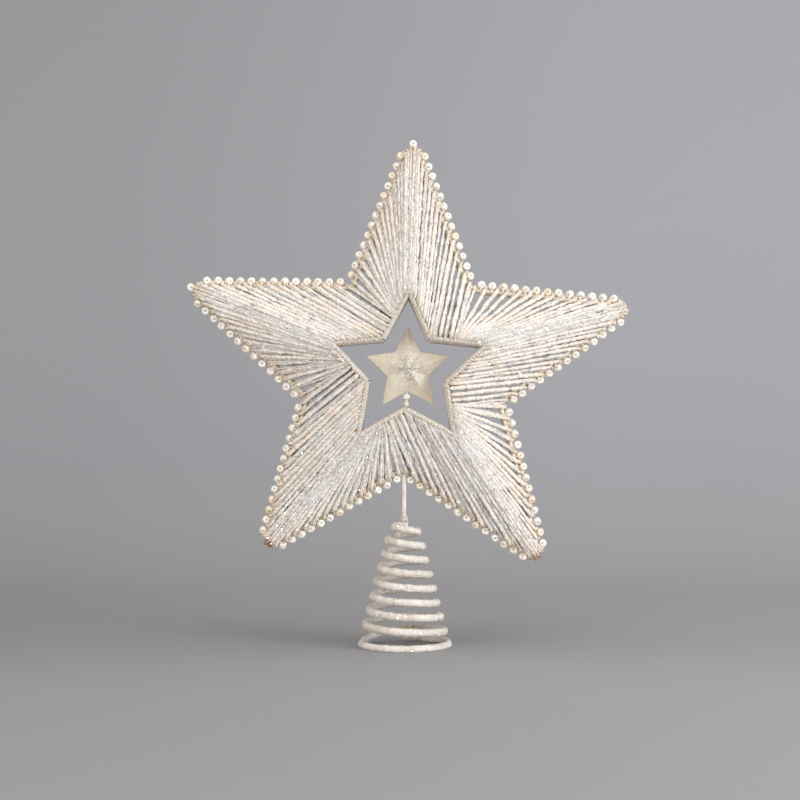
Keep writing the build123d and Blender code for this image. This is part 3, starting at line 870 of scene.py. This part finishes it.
def winding_route(arm, side, seed):
    luck = random.Random(seed)
    route = []
    for outer, front, rear, width in passes(arm, side, luck):
        half = THREAD_WIDTH * width / 2
        outer_radius = FRAME_WIRE / 2 + half
        inner_radius = INNER_WIRE / 2 + half * PRESSED_SHARE
        top_radius = inner_radius + TOP_LAYER * luck.random()
        outer_lift, inner_lift, wall = lifts(outer, front, -1)
        rear_outer, rear_inner, _ = lifts(outer, rear, 1)
        over_inner = arc(front[0], inner_lift, wall, inner_radius)
        over_inner += arc(rear[0], wall, rear_inner, inner_radius)
        route += [(p, width, 1.0) for p in arc(outer[0], rear_outer, outer_lift, outer_radius)]
        route += strand(outer[0] + outer_lift * outer_radius, front[0] + inner_lift * top_radius, width)
        route += [(p, width * PRESSED_SHARE, INNER_GLUE) for p in over_inner]
        route += strand(rear[0] + rear_inner * top_radius, outer[0] + rear_outer * outer_radius, width)
    return route


print("points in a winding:", len(winding_route(0, 1, 1)))

# %% [markdown]
# The ten windings differ only in their half arm and their seed, so one loop makes them. Each replaces the
# plain thread of its half arm.

# %% Wind the ten half arms
THREAD_NAMES = {
    (0, -1): "top_left_thread", (0, 1): "top_right_thread",
    (1, -1): "right_upper_thread", (1, 1): "right_lower_thread",
    (2, -1): "lower_right_outer_thread", (2, 1): "lower_right_inner_thread",
    (3, -1): "lower_left_inner_thread", (3, 1): "lower_left_outer_thread",
    (4, -1): "left_lower_thread", (4, 1): "left_upper_thread"}
THREAD = {"Yarn Finish": thread_material, "Flake Finish": glitter_material, "Yarn Width": THREAD_WIDTH}
ROUTE_SEED = 100

for number, ((arm, side), name) in enumerate(THREAD_NAMES.items()):
    winding = wind(name + "_yarn", [winding_route(arm, side, ROUTE_SEED + number)], {
        **THREAD, "Step": 0.8 * MM, "Ply Turn": 5.2 * MM, "Slub": 0.25, "Wander": 0.4 * MM, "Flatness": 0.12,
        "Ring Points": 7, "Flake Size": 0.45 * MM, "Flake Density": 380000.0, "Fibre Density": 60000.0,
        "Seed": number + 1})
    settle(winding, "star", "thread", name)

# %% [markdown]
# At each tip the first strands would slip off, so a short binding of the same thread holds the two wires
# together. Its turns go round both wires, on an oval that narrows towards the tip. The right tip has no
# bead, and there the binding goes on over the wire's end and makes a white knob.

# %% Tip bindings
BIND_PITCH, BIND_FAR, BIND_STEPS, BIND_GLUE = 0.95 * MM, 8.0 * MM, 16, 0.5
BIND_NEAR, KNOB_NEAR, KNOB_ARM = 4.2 * MM, 2.3 * MM, "right"
BIND_SEED = 40


def tip_binding_route(arm):
    tip = outer_corner(2 * arm)
    axis = (STAR_MIDDLE - tip).normalized()
    sideways = axis.cross(FRONT).normalized()
    slope = tan(edge_line(arm, 1)[1].angle(axis))
    deep = FRAME_WIRE / 2 + THREAD_WIDTH * THIN_SHARE / 2
    near = KNOB_NEAR if ARM_NAMES[arm] == KNOB_ARM else BIND_NEAR
    turns = round((BIND_FAR - near) / BIND_PITCH)
    route = []
    for step in range(turns * BIND_STEPS + 1):
        share = step / (turns * BIND_STEPS)
        down = near + (BIND_FAR - near) * share
        turn = 2 * pi * turns * share
        oval = sideways * ((down * slope + deep) * cos(turn)) + FRONT * (deep * sin(turn))
        route.append((tip + axis * down + oval, THIN_SHARE, BIND_GLUE))
    return route


for arm, name in enumerate(ARM_NAMES):
    binding = wind(name + "_tip_binding", [tip_binding_route(arm)], {
        **THREAD, "Step": 0.5 * MM, "Ply Turn": 4.0 * MM, "Slub": 0.25, "Wander": 0.15 * MM,
        "Flake Size": 0.34 * MM, "Flake Density": 330000.0, "Seed": BIND_SEED + arm})
    settle(binding, "star", "thread")

# %% [markdown]
# The opening's wall is closed: a thinner thread laces the front wire to the rear wire in close turns, all
# the way round. Each turn hooks over one wire, crosses the wall, and hooks over the other, so the edge of
# the opening reads as a smooth band rather than as the ends of strands. At the lower notch it leaves room
# for the small star's pin.

# %% Lacing of the opening
LACE_WIDTH, LACE_PITCH, LACE_TIP_MARGIN = 0.95 * MM, 0.85 * MM, 1.4 * MM
LACE_NOTCH_MARGIN, LACE_PIN_MARGIN, LACE_GLUE = 0.25 * MM, 1.0 * MM, 0.4
LACE_SEED = 50


def lacing_route(arm):
    route, order = [], [-1, 1]
    for side in (-1, 1):
        length = (inner_corner(2 * arm + side) - inner_corner(2 * arm)).length
        at_pin = (2 * arm + side) % CORNERS == STEM_NOTCH
        span = length - LACE_TIP_MARGIN - (LACE_PIN_MARGIN if at_pin else LACE_NOTCH_MARGIN)
        count = round(span / LACE_PITCH)
        spots = [LACE_TIP_MARGIN + span * number / count for number in range(count + 1)]
        for spot in spots[::side]:
            for step, face in enumerate(order):
                place, way = inner_place(arm, side, spot, face)
                towards = Vector((0, face, 0))
                wall = square_to(STAR_MIDDLE + towards * INNER_RISE - place, way)
                ends = (wall, towards) if step else (towards, wall)
                route += [(p, 1.0, LACE_GLUE) for p in arc(place, *ends, (INNER_WIRE + LACE_WIDTH) / 2)]
            order.reverse()
    return route


for arm, name in enumerate(ARM_NAMES):
    lacing = wind(name + "_opening_lacing", [lacing_route(arm)], {
        **THREAD, "Yarn Width": LACE_WIDTH, "Step": 0.8 * MM, "Ply Turn": 4.0 * MM, "Slub": 0.15,
        "Wander": 0.1 * MM, "Ring Points": 6, "Flake Size": 0.34 * MM, "Flake Density": 150000.0,
        "Fibre Density": 0.0, "Seed": LACE_SEED + arm})
    settle(lacing, "star", "thread")

# %% [markdown]
# The beads are pearly glass, pressed rather than cut, so no two are quite alike. They let some light
# through, shine, and range from clear white to a warm cream, with a few that glue has turned a pale amber.

# %% Bead material
bead_material, work, shader = new_material("pearly_glass", {
    "Transmission Weight": 0.12, "IOR": 1.5, "Coat Weight": 0.5, "Coat Roughness": 0.06})
glass = ramp(work, work.attribute("bead_pick"), (
    (0.0, colour(253, 251, 247)), (0.5, colour(253, 249, 240)), (0.9, colour(249, 239, 220)),
    (1.0, colour(245, 230, 204))), "LINEAR")
cloud = work.group(ageing, {
    "Fresh": glass, "Aged": colour(234, 220, 196), "Patch Scale": 300.0, "Amount": 0.35})
work.feed(shader["Base Color"], cloud["Color"])
work.feed(shader["Roughness"], work.spread(cloud["Mask"], (0.0, 0.4), (0.1, 0.25)))
print("bead material nodes:", len(work.tree.nodes))

# %% [markdown]
# A bead is a ring with a rounded section. A ball would be simpler, but the holes face the viewer and show.
# A geometry tree sets a bead on each point of a list, then tilts it and changes its size a little at random,
# as beads on a wire sit.

# %% Geometry tree for bead rows
BEAD_ROUND_SHARE, BEAD_SIDES, BEAD_FILLET_STEPS = 0.85, 12, 2
SMALLEST_BEAD, LARGEST_BEAD = (0.92, 0.92, 0.85), (1.02, 1.02, 1.05)
BEAD_SIZE_SEED, BEAD_PICK_SEED = 3, 9

beads, give, take = new_shape_tree("bead_row", {
    "Places": "Geometry", "Bead Width": 0.004, "Bead Length": 0.003, "Hole": 0.0014, "Tilt": 0.3,
    "Upright": 0.0, "Seed": 1, "Bead Finish": "Material"}, "Beads")
half_wall = beads.times(beads.reckon("SUBTRACT", give["Bead Width"], give["Hole"]), 0.25)
middle_radius = beads.plus(beads.times(give["Hole"], 0.5), half_wall)
hoop = beads.shape("CurvePrimitiveCircle", {"Resolution": BEAD_SIDES, "Radius": middle_radius})
section = beads.shape("CurvePrimitiveQuadrilateral", {
    "Width": beads.times(half_wall, 2.0), "Height": give["Bead Length"]})
rounding = beads.times(half_wall, BEAD_ROUND_SHARE)
section = beads.shape("FilletCurve", {
    "Curve": section, "Radius": rounding, "Count": BEAD_FILLET_STEPS}, mode="POLY")
bead = beads.shape("CurveToMesh", {"Curve": hoop, "Profile Curve": section, "Scale": 1.0})
bead = beads.shape("SetShadeSmooth", {"Geometry": bead, "Shade Smooth": True})
lean = beads.between((-1.0, -1.0, -pi), (1.0, 1.0, pi), give["Seed"])
lean = beads.vector("MULTIPLY", lean, beads.xyz(give["Tilt"], give["Tilt"], 1.0))
stand = beads.xyz(beads.times(beads.reckon("SUBTRACT", 1.0, give["Upright"]), pi / 2))
size = beads.between(SMALLEST_BEAD, LARGEST_BEAD, beads.plus(give["Seed"], BEAD_SIZE_SEED))
set_beads = beads.shape("InstanceOnPoints", {
    "Points": give["Places"], "Instance": bead, "Rotation": beads.turned(beads.rotation(stand), lean),
    "Scale": size})
pick = beads.between(0.0, 1.0, beads.plus(give["Seed"], BEAD_PICK_SEED))
set_beads = beads.store(set_beads, "bead_pick", pick, domain="INSTANCE")
set_beads = beads.shape("RealizeInstances", {"Geometry": set_beads})
set_beads = beads.shape("SetMaterial", {"Geometry": set_beads, "Material": give["Bead Finish"]})
beads.feed(take["Beads"], set_beads)
print("tree:", beads.tree.name, len(beads.tree.nodes), "nodes")

# %% [markdown]
# Each edge has a bead over every gap between two passes of the thread, and two of the tips have one more.
# A row is a mesh of bare points, and the tree does the rest.

# %% Set the bead rows
BEAD_WIDTH, BEAD_LENGTH, BEAD_HOLE, BEAD_SEAT = 4.1 * MM, 3.0 * MM, 0.6 * MM, 3.2 * MM
TIP_BEADS = ("top", "left")
EDGE_BEAD_SEED = 60


def edge_outward(arm, side):
    tip, way, _ = edge_line(arm, side)
    return square_to(tip - STAR_MIDDLE, way)


def bead_places(arm, name):
    places = []
    for side in (-1, 1):
        seat = edge_outward(arm, side) * BEAD_SEAT
        places += [gap_place(arm, side, number + 0.5) + seat for number in range(GAPS)]
    if name in TIP_BEADS:
        apex = bend_place(arm, 1, OUTER_OUTLINE, 0.0, FRAME_BEND, 0.0)[0]
        places.append(apex + (apex - STAR_MIDDLE).normalized() * BEAD_SEAT)
    return places


def string_beads(name, places, replaced, values):
    source = put(name + "_places", new_mesh(name + "_places", places))
    values = {"Hole": BEAD_HOLE, "Bead Finish": bead_material, **values}
    settle(grown(name, source, beads.tree, values), "star", "bead", replaced)


for arm, name in enumerate(ARM_NAMES):
    string_beads(name + "_glass_beads", bead_places(arm, name), name + "_arm_beads", {
        "Bead Width": BEAD_WIDTH, "Bead Length": BEAD_LENGTH, "Tilt": 0.75, "Seed": EDGE_BEAD_SEED + arm})

# %% [markdown]
# A fine wire ties the beads on, one length for each edge. It goes back through a bead, down behind the
# frame wire, forward on its inner side, up to the next bead, and so on. The yarn tree makes the wire too:
# a flattened section that turns as it goes reads as two drawn wires twisted together.

# %% Bead wires
TIE_WIDTH, TIE_GAP, TIE_TAIL = 0.5 * MM, 0.1 * MM, 0.6 * MM
TIE_BEND, TIE_BEND_STEPS = 0.8 * MM, 5


def rounded(corners, bend):
    """Points of a line through corners, with each corner bent round."""
    points = [corners[0]]
    for before, here, after in zip(corners, corners[1:], corners[2:]):
        start = here + (before - here).normalized() * bend
        end = here + (after - here).normalized() * bend
        for step in range(TIE_BEND_STEPS + 1):
            share = step / TIE_BEND_STEPS
            points.append(start.lerp(here, share).lerp(here.lerp(end, share), share))
    return points + corners[-1:]


def bead_wire_route(arm, side):
    outward = edge_outward(arm, side)
    inside = (FRAME_WIRE + TIE_WIDTH) / 2 + TIE_GAP
    front = FRONT * ((BEAD_LENGTH + TIE_WIDTH) / 2 + TIE_GAP)
    tail = FRONT * (TIE_TAIL - TIE_WIDTH / 2 - TIE_GAP)
    corners = []
    for number in range(GAPS):
        place = gap_place(arm, side, number + 0.5)
        bead, hook = place + outward * BEAD_SEAT, place - outward * inside
        corners += [hook + front, bead + front, bead - front, hook - front]
    corners = [corners[1] + tail, *corners[2:-2], corners[-2] - tail]
    return [(point, 1.0, 0.0) for point in rounded(corners, TIE_BEND)]


for arm, name in enumerate(ARM_NAMES):
    ties = wind(name + "_tie_wires", [bead_wire_route(arm, side) for side in (-1, 1)], {
        "Yarn Width": TIE_WIDTH, "Step": 0.3 * MM, "Ply Turn": 3.2 * MM, "Slub": 0.03, "Wander": 0.0,
        "Flatness": 0.18, "Ring Points": 8, "Flake Density": 0.0, "Fibre Density": 0.0,
        "Yarn Finish": tinned_material, "Flake Finish": tinned_material})
    settle(ties, "star", "fine_wire", name + "_arm_bead_wires")

# %% [markdown]
# Two more beads sit upright on the pin under the small star, a full one in its notch and a small one below
# it. They come from the same tree as the rows, with hardly any tilt.

# %% Pin beads
PIN_BEADS = {
    "upper_pin_bead": (13.5 * MM, BEAD_WIDTH, BEAD_LENGTH), "lower_pin_bead": (17.1 * MM, 2.8 * MM, 2.2 * MM)}
PIN_BEAD_SEED = 71

for name, (drop, width, length) in PIN_BEADS.items():
    string_beads(name + "_glass", [STAR_MIDDLE - LEAN_WAY * drop], name, {
        "Bead Width": width, "Bead Length": length, "Tilt": 0.05, "Upright": 1.0, "Seed": PIN_BEAD_SEED})

# %% [markdown]
# The small star is moulded champagne plastic, partly clear. Its gloss is uneven, and faint swirls from the
# melt lie under it, so one noise drives both the roughness and the bump.

# %% Small star's material
plastic_material, work, shader = new_material("champagne_plastic", {"Transmission Weight": 0.3, "IOR": 1.47})
age = work.group(ageing, {
    "Fresh": colour(252, 246, 233), "Aged": colour(240, 226, 201), "Patch Scale": 130.0, "Amount": 0.7})
work.feed(shader["Base Color"], age["Color"])
swirl = work.noise(work.here(), scale=380.0, detail=3.0)
work.feed(shader["Roughness"], work.spread(swirl, (0.3, 0.7), (0.12, 0.3)))
bump(work, shader, swirl, strength=0.35, distance=0.15 * MM)
print("plastic nodes:", len(work.tree.nodes))

# %% [markdown]
# The small star has ridges from its middle to its tips and valleys to its notches. It has few corners, so its
# facets are built one by one. Its edges are rounded a little, as moulded edges are, and a bore is cut for
# the pin.

# %% Small star's shape
SMALL_RIM, SMALL_THICKNESS, SMALL_EDGE, EDGE_PROFILE = 2.4 * MM, 11.0 * MM, 0.35 * MM, 0.6
PIN_BORE, PIN_PAST_MIDDLE, BORE_SIDES = 1.2 * MM, 1.5 * MM, 12


def mesh_from(work_mesh, name):
    mesh = bpy.data.meshes.new(name)
    work_mesh.to_mesh(mesh)
    work_mesh.free()
    return mesh


facets = bmesh.new()
rise = FRONT * (SMALL_THICKNESS / 2)
apexes = [facets.verts.new(STAR_MIDDLE + rise), facets.verts.new(STAR_MIDDLE - rise)]
rims = []
for face in (1, -1):
    places = [star_corner(n, SMALL_OUTLINE) + FRONT * (face * SMALL_RIM / 2) for n in range(CORNERS)]
    rims.append([facets.verts.new(p) for p in places])
for n in range(CORNERS):
    after = (n + 1) % CORNERS
    facets.faces.new((apexes[0], rims[0][n], rims[0][after]))
    facets.faces.new((apexes[1], rims[1][after], rims[1][n]))
    facets.faces.new((rims[0][n], rims[1][n], rims[1][after], rims[0][after]))
bmesh.ops.recalc_face_normals(facets, faces=facets.faces)
bmesh.ops.bevel(
    facets, geom=facets.edges[:], offset=SMALL_EDGE, segments=2, profile=EDGE_PROFILE, affect="EDGES")
small_star = put("small_faceted_star_line", mesh_from(facets, "small_faceted_star"))

bore = bmesh.new()
bore_start, bore_end = STAR_MIDDLE - LEAN_WAY * SMALL_REACH, STAR_MIDDLE + LEAN_WAY * PIN_PAST_MIDDLE
bmesh.ops.create_cone(bore, cap_ends=True, segments=BORE_SIDES, radius1=PIN_BORE / 2, radius2=PIN_BORE / 2,
                      depth=(bore_end - bore_start).length)
bmesh.ops.rotate(bore, matrix=LEAN_WAY.to_track_quat("Z", "Y").to_matrix(), verts=bore.verts)
bmesh.ops.translate(bore, vec=(bore_start + bore_end) / 2, verts=bore.verts)
cutter = put("bore", mesh_from(bore, "bore"))
cut = small_star.modifiers.new("bore", "BOOLEAN")
cut.object = cutter
cut.operation = "DIFFERENCE"
bored = plain_mesh(small_star)
small_star.modifiers.remove(cut)
small_star.data = bored
bpy.data.objects.remove(cutter)
bored.materials.clear()
bored.materials.append(plastic_material)
print("small star faces:", len(bored.polygons))

# %% [markdown]
# Silver glitter lies on the middle of the small star and thins out towards its tips. A geometry tree
# strews flakes of a greyer foil, with a density that falls with the distance from the middle. It reads the
# density at corners, so the facets are first divided into small ones for the strewing.

# %% Dust the small star
DUST_LEVELS, SMALLEST_DUST_SHARE, DUST_SEED = 3, 0.4, 81

dust, give, take = new_shape_tree("glitter_dust", {
    "Surface": "Geometry", "Middle": (0.0, 0.0, 0.0), "Dust Reach": 0.01, "Flake Size": 0.0003,
    "Flake Density": 1000000.0, "Seed": 1, "Flake Finish": "Material"}, "Dusted")
fine_surface = dust.shape("SubdivideMesh", {"Mesh": give["Surface"], "Level": DUST_LEVELS})
from_middle = dust.vector("SUBTRACT", dust.shape("InputPosition"), give["Middle"])
seen_from_front = dust.vector("MULTIPLY", from_middle, (1.0, 0.0, 1.0))
away = dust.add("ShaderNodeVectorMath", {0: seen_from_front}, operation="LENGTH").outputs["Value"]
fall = dust.reckon("EXPONENT", dust.times(dust.reckon("DIVIDE", away, give["Dust Reach"]), -1.0))
thinned = dust.times(give["Flake Density"], fall)
strewn = strew_flakes(dust, give, fine_surface, thinned, SMALLEST_DUST_SHARE)
dust.feed(take["Dusted"], finished(dust, (strewn, give["Surface"]), give["Flake Finish"]))
dusted_star = grown("small_faceted_star", small_star, dust.tree, {
    "Middle": STAR_MIDDLE, "Dust Reach": 4.2 * MM, "Flake Size": 0.28 * MM, "Flake Density": 22000000.0,
    "Seed": DUST_SEED, "Flake Finish": silver_material})
settle(dusted_star, "spinner", "small_star", "small_star")

# %% [markdown]
# The spring is thick wire under a wound white sleeve with glitter. Its line is the same cone-shaped
# spiral as in the solids: most of a flat turn on the table, nearly eight rising turns, and a bar that crosses
# the top under the stem. A formula gives each point, so the turns are as even as machine-wound wire.

# %% Spring's line
SPRING_WIRE, SPRING_BOTTOM, SPRING_TOP = 3.8 * MM, 22.2 * MM, 6.3 * MM
SPRING_TURNS, SPRING_STEPS, FLAT_STEPS = 8.625, 35, 3
SPRING_LEVEL, FIRST_RISE, SPRING_PITCH = 1.4 * MM, 4.4 * MM, 7.0 * MM
BAR_INSET, BAR_END, BAR_WAY = 2.6 * MM, 1.9 * MM, Vector((1, 0, 0))
BAR_SHARES = (0.25, 0.5, 0.75, 1.0)
SPIRAL_POINTS, LEAD_POINTS = 520, 14


def ease(share):
    return share * share * (3 - 2 * share)


def spring_spot(turns):
    step_turns = SPRING_TURNS / SPRING_STEPS
    radius = SPRING_BOTTOM + (SPRING_TOP - SPRING_BOTTOM) * turns / SPRING_TURNS
    flat_end, rise_end = FLAT_STEPS * step_turns, (FLAT_STEPS + 1) * step_turns
    level = SPRING_LEVEL
    if turns >= rise_end:
        level += FIRST_RISE + SPRING_PITCH * (turns - rise_end)
    elif turns > flat_end:
        share = (turns - flat_end) / (rise_end - flat_end)
        slope = SPRING_PITCH * (rise_end - flat_end)
        level += FIRST_RISE * ease(share) + slope * share * share * (share - 1)
    angle = pi / 2 - 2 * pi * turns
    return Vector((radius * cos(angle), radius * sin(angle), level))


spring_line = [spring_spot(SPRING_TURNS * n / SPIRAL_POINTS) for n in range(SPIRAL_POINTS + 1)]
lead_start = spring_line[-1]
lead_way = (lead_start - spring_line[-2]).normalized()
bar_start, bar_end = Vector((-BAR_INSET, 0, BAR_LEVEL)), Vector((BAR_END, 0, BAR_LEVEL))
lead_reach = (bar_start - lead_start).length
for n in range(1, LEAD_POINTS + 1):
    t = n / LEAD_POINTS
    pull_start = lead_way * (lead_reach * t * (1 - t) * (1 - t))
    pull_end = BAR_WAY * (lead_reach * t * t * (t - 1))
    spring_line.append(lead_start.lerp(bar_start, ease(t)) + pull_start + pull_end)
spring_line += [bar_start.lerp(bar_end, share) for share in BAR_SHARES]
print("spring points:", len(spring_line), "length:",
      round(sum((b - a).length for a, b in zip(spring_line, spring_line[1:])), 3))

# %% [markdown]
# Dirt has caught on the sleeve's lumps, and a rusty stain has soaked into the back of the lowest turns. One
# noise drives the dirt and the bump together, and the stain fades with the distance from one spot.

# %% Spring's material
STAIN_PLACE, STAIN_FADE = (0.005, 0.0205, 0.005), (3.0 * MM, 11.0 * MM)
DIRT, STAIN, FIBRES_IN_BUMP = colour(148, 126, 104), colour(166, 124, 78), 0.5

sleeve_material, work, shader = new_material("glittered_sleeve", {"Sheen Weight": 0.15})
age = work.group(ageing, {
    "Fresh": colour(236, 231, 225), "Aged": colour(190, 176, 162), "Patch Scale": 90.0, "Amount": 0.8})
fibre = work.group(fibres, {"Fibre Count": 5.0, "Stretch": 900.0, "Slant": 30.0})
where = work.here()
lumps = work.noise(where, scale=520.0, detail=3.0)
dirty = work.mix(work.spread(lumps, (0.68, 0.73), (0.0, 0.7)), age["Color"], DIRT)
near_stain = work.spread(work.distance(where, STAIN_PLACE), STAIN_FADE, (0.75, 0.0))
stained = work.times(near_stain, work.spread(lumps, (0.35, 0.6), (0.2, 1.0)))
work.feed(shader["Base Color"], work.mix(stained, dirty, STAIN))
work.feed(shader["Roughness"], work.spread(fibre["Height"], (0.3, 0.7), (0.5, 0.75)))
height = work.plus(work.times(fibre["Height"], FIBRES_IN_BUMP), lumps)
bump(work, shader, height, strength=0.9, distance=0.35 * MM)
print("sleeve nodes:", len(work.tree.nodes))

# %% [markdown]
# The yarn tree makes the sleeve too, with a round section and a fine step. Its place is baked into its
# mesh, and the spring's CAD node is hidden.

# %% Wind the spring
SLEEVE = {"Yarn Finish": sleeve_material, "Flake Finish": glitter_material}

spring_sleeve = wind("spring_sleeve", [[(point, 1.0, 0.0) for point in spring_line]], {
    **SLEEVE, "Yarn Width": SPRING_WIRE, "Step": 0.5 * MM, "Ply Turn": 9.0 * MM, "Slub": 0.12,
    "Wander": 0.14 * MM, "Flatness": 0.015, "Ring Points": 16, "Flake Size": 0.42 * MM,
    "Flake Density": 750000.0, "Fibre Density": 60000.0, "Floor": 0.0, "Seed": 91})
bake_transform(spring_sleeve)
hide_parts("spring")
print("spring_sleeve faces:", len(spring_sleeve.data.polygons))

# %% [markdown]
# The stem has the same sleeve on a thinner wire. It stands with a round foot on the spring's bar, so its line
# starts with a few points that widen like a ball.

# %% Stem
STEM_WIRE, STEM_SLEEVE_SHARE, STEM_TAIL, FOOT_GAP = 2.3 * MM, 0.97, 7.0 * MM, 0.1 * MM
STEM_POINTS, FOOT_SHARES = 30, (0.25, 0.6, 0.85, 1.0)

sway_level = BAR_TOP + FOOT_GAP + STEM_WIRE / 2
stem_route = []
for share in FOOT_SHARES:
    level = sway_level - STEM_WIRE / 2 * sqrt(1 - share * share)
    stem_route.append((Vector((0, 0, level)), share, 0.0))
foot = stem_route[-1][0]
stem_route += [(foot.lerp(NOTCH_PLACE, n / STEM_POINTS), 1.0, 0.0) for n in range(1, STEM_POINTS + 1)]
stem_route.append((NOTCH_PLACE + LEAN_WAY * STEM_TAIL, 1.0, 0.0))
stem_sleeve = wind("stem_sleeve", [stem_route], {
    **SLEEVE, "Yarn Width": STEM_WIRE * STEM_SLEEVE_SHARE, "Step": 0.4 * MM, "Ply Turn": 6.0 * MM,
    "Slub": 0.03, "Wander": 0.0, "Flatness": 0.02, "Ring Points": 12, "Flake Size": 0.3 * MM,
    "Flake Density": 250000.0, "Fibre Density": 0.0, "Seed": 95})
settle(stem_sleeve, "star", "wrapped_wire", "stem")

# %% [markdown]
# A binding of thread holds the stem's foot on the spring and lets it lean. Its turns follow a cone that
# opens upwards, so the stem has room, and it belongs to the spring's top.

# %% Binding of the stem
BINDING_WIDTH, BINDING_HEIGHT = 4.2 * MM, 3.2 * MM
SWAY, SWAY_GAP = radians(10), 0.12 * MM
BINDING_COILS, COIL_STEPS = 3.4, 20

binding_bottom = BAR_TOP + FOOT_GAP / 2
bore_low = STEM_WIRE / 2 + SWAY_GAP
bore_high = STEM_WIRE / 2 / cos(SWAY) + (binding_bottom + BINDING_HEIGHT - sway_level) * tan(SWAY) + SWAY_GAP
binding_route = []
for n in range(int(BINDING_COILS * COIL_STEPS) + 1):
    share = n / (BINDING_COILS * COIL_STEPS)
    bore_radius = bore_low + (bore_high - bore_low) * share
    thick = BINDING_WIDTH / 2 - bore_radius
    turn = 2 * pi * BINDING_COILS * share
    level = binding_bottom + thick / 2 + (BINDING_HEIGHT - thick) * share
    radius = bore_radius + thick / 2
    place = Vector((radius * cos(turn), radius * sin(turn), level))
    binding_route.append((place, thick / BINDING_WIDTH, 0.0))
whipping = wind("stem_whipping", [binding_route], {
    **SLEEVE, "Yarn Width": BINDING_WIDTH, "Step": 0.35 * MM, "Ply Turn": 4.0 * MM, "Slub": 0.04,
    "Wander": 0.0, "Flatness": 0.0, "Ring Points": 10, "Flake Size": 0.3 * MM, "Flake Density": 300000.0,
    "Fibre Density": 0.0, "Seed": 97})
settle(whipping, "spring_top", "wrapped_wire", "stem_binding")

# %% [markdown]
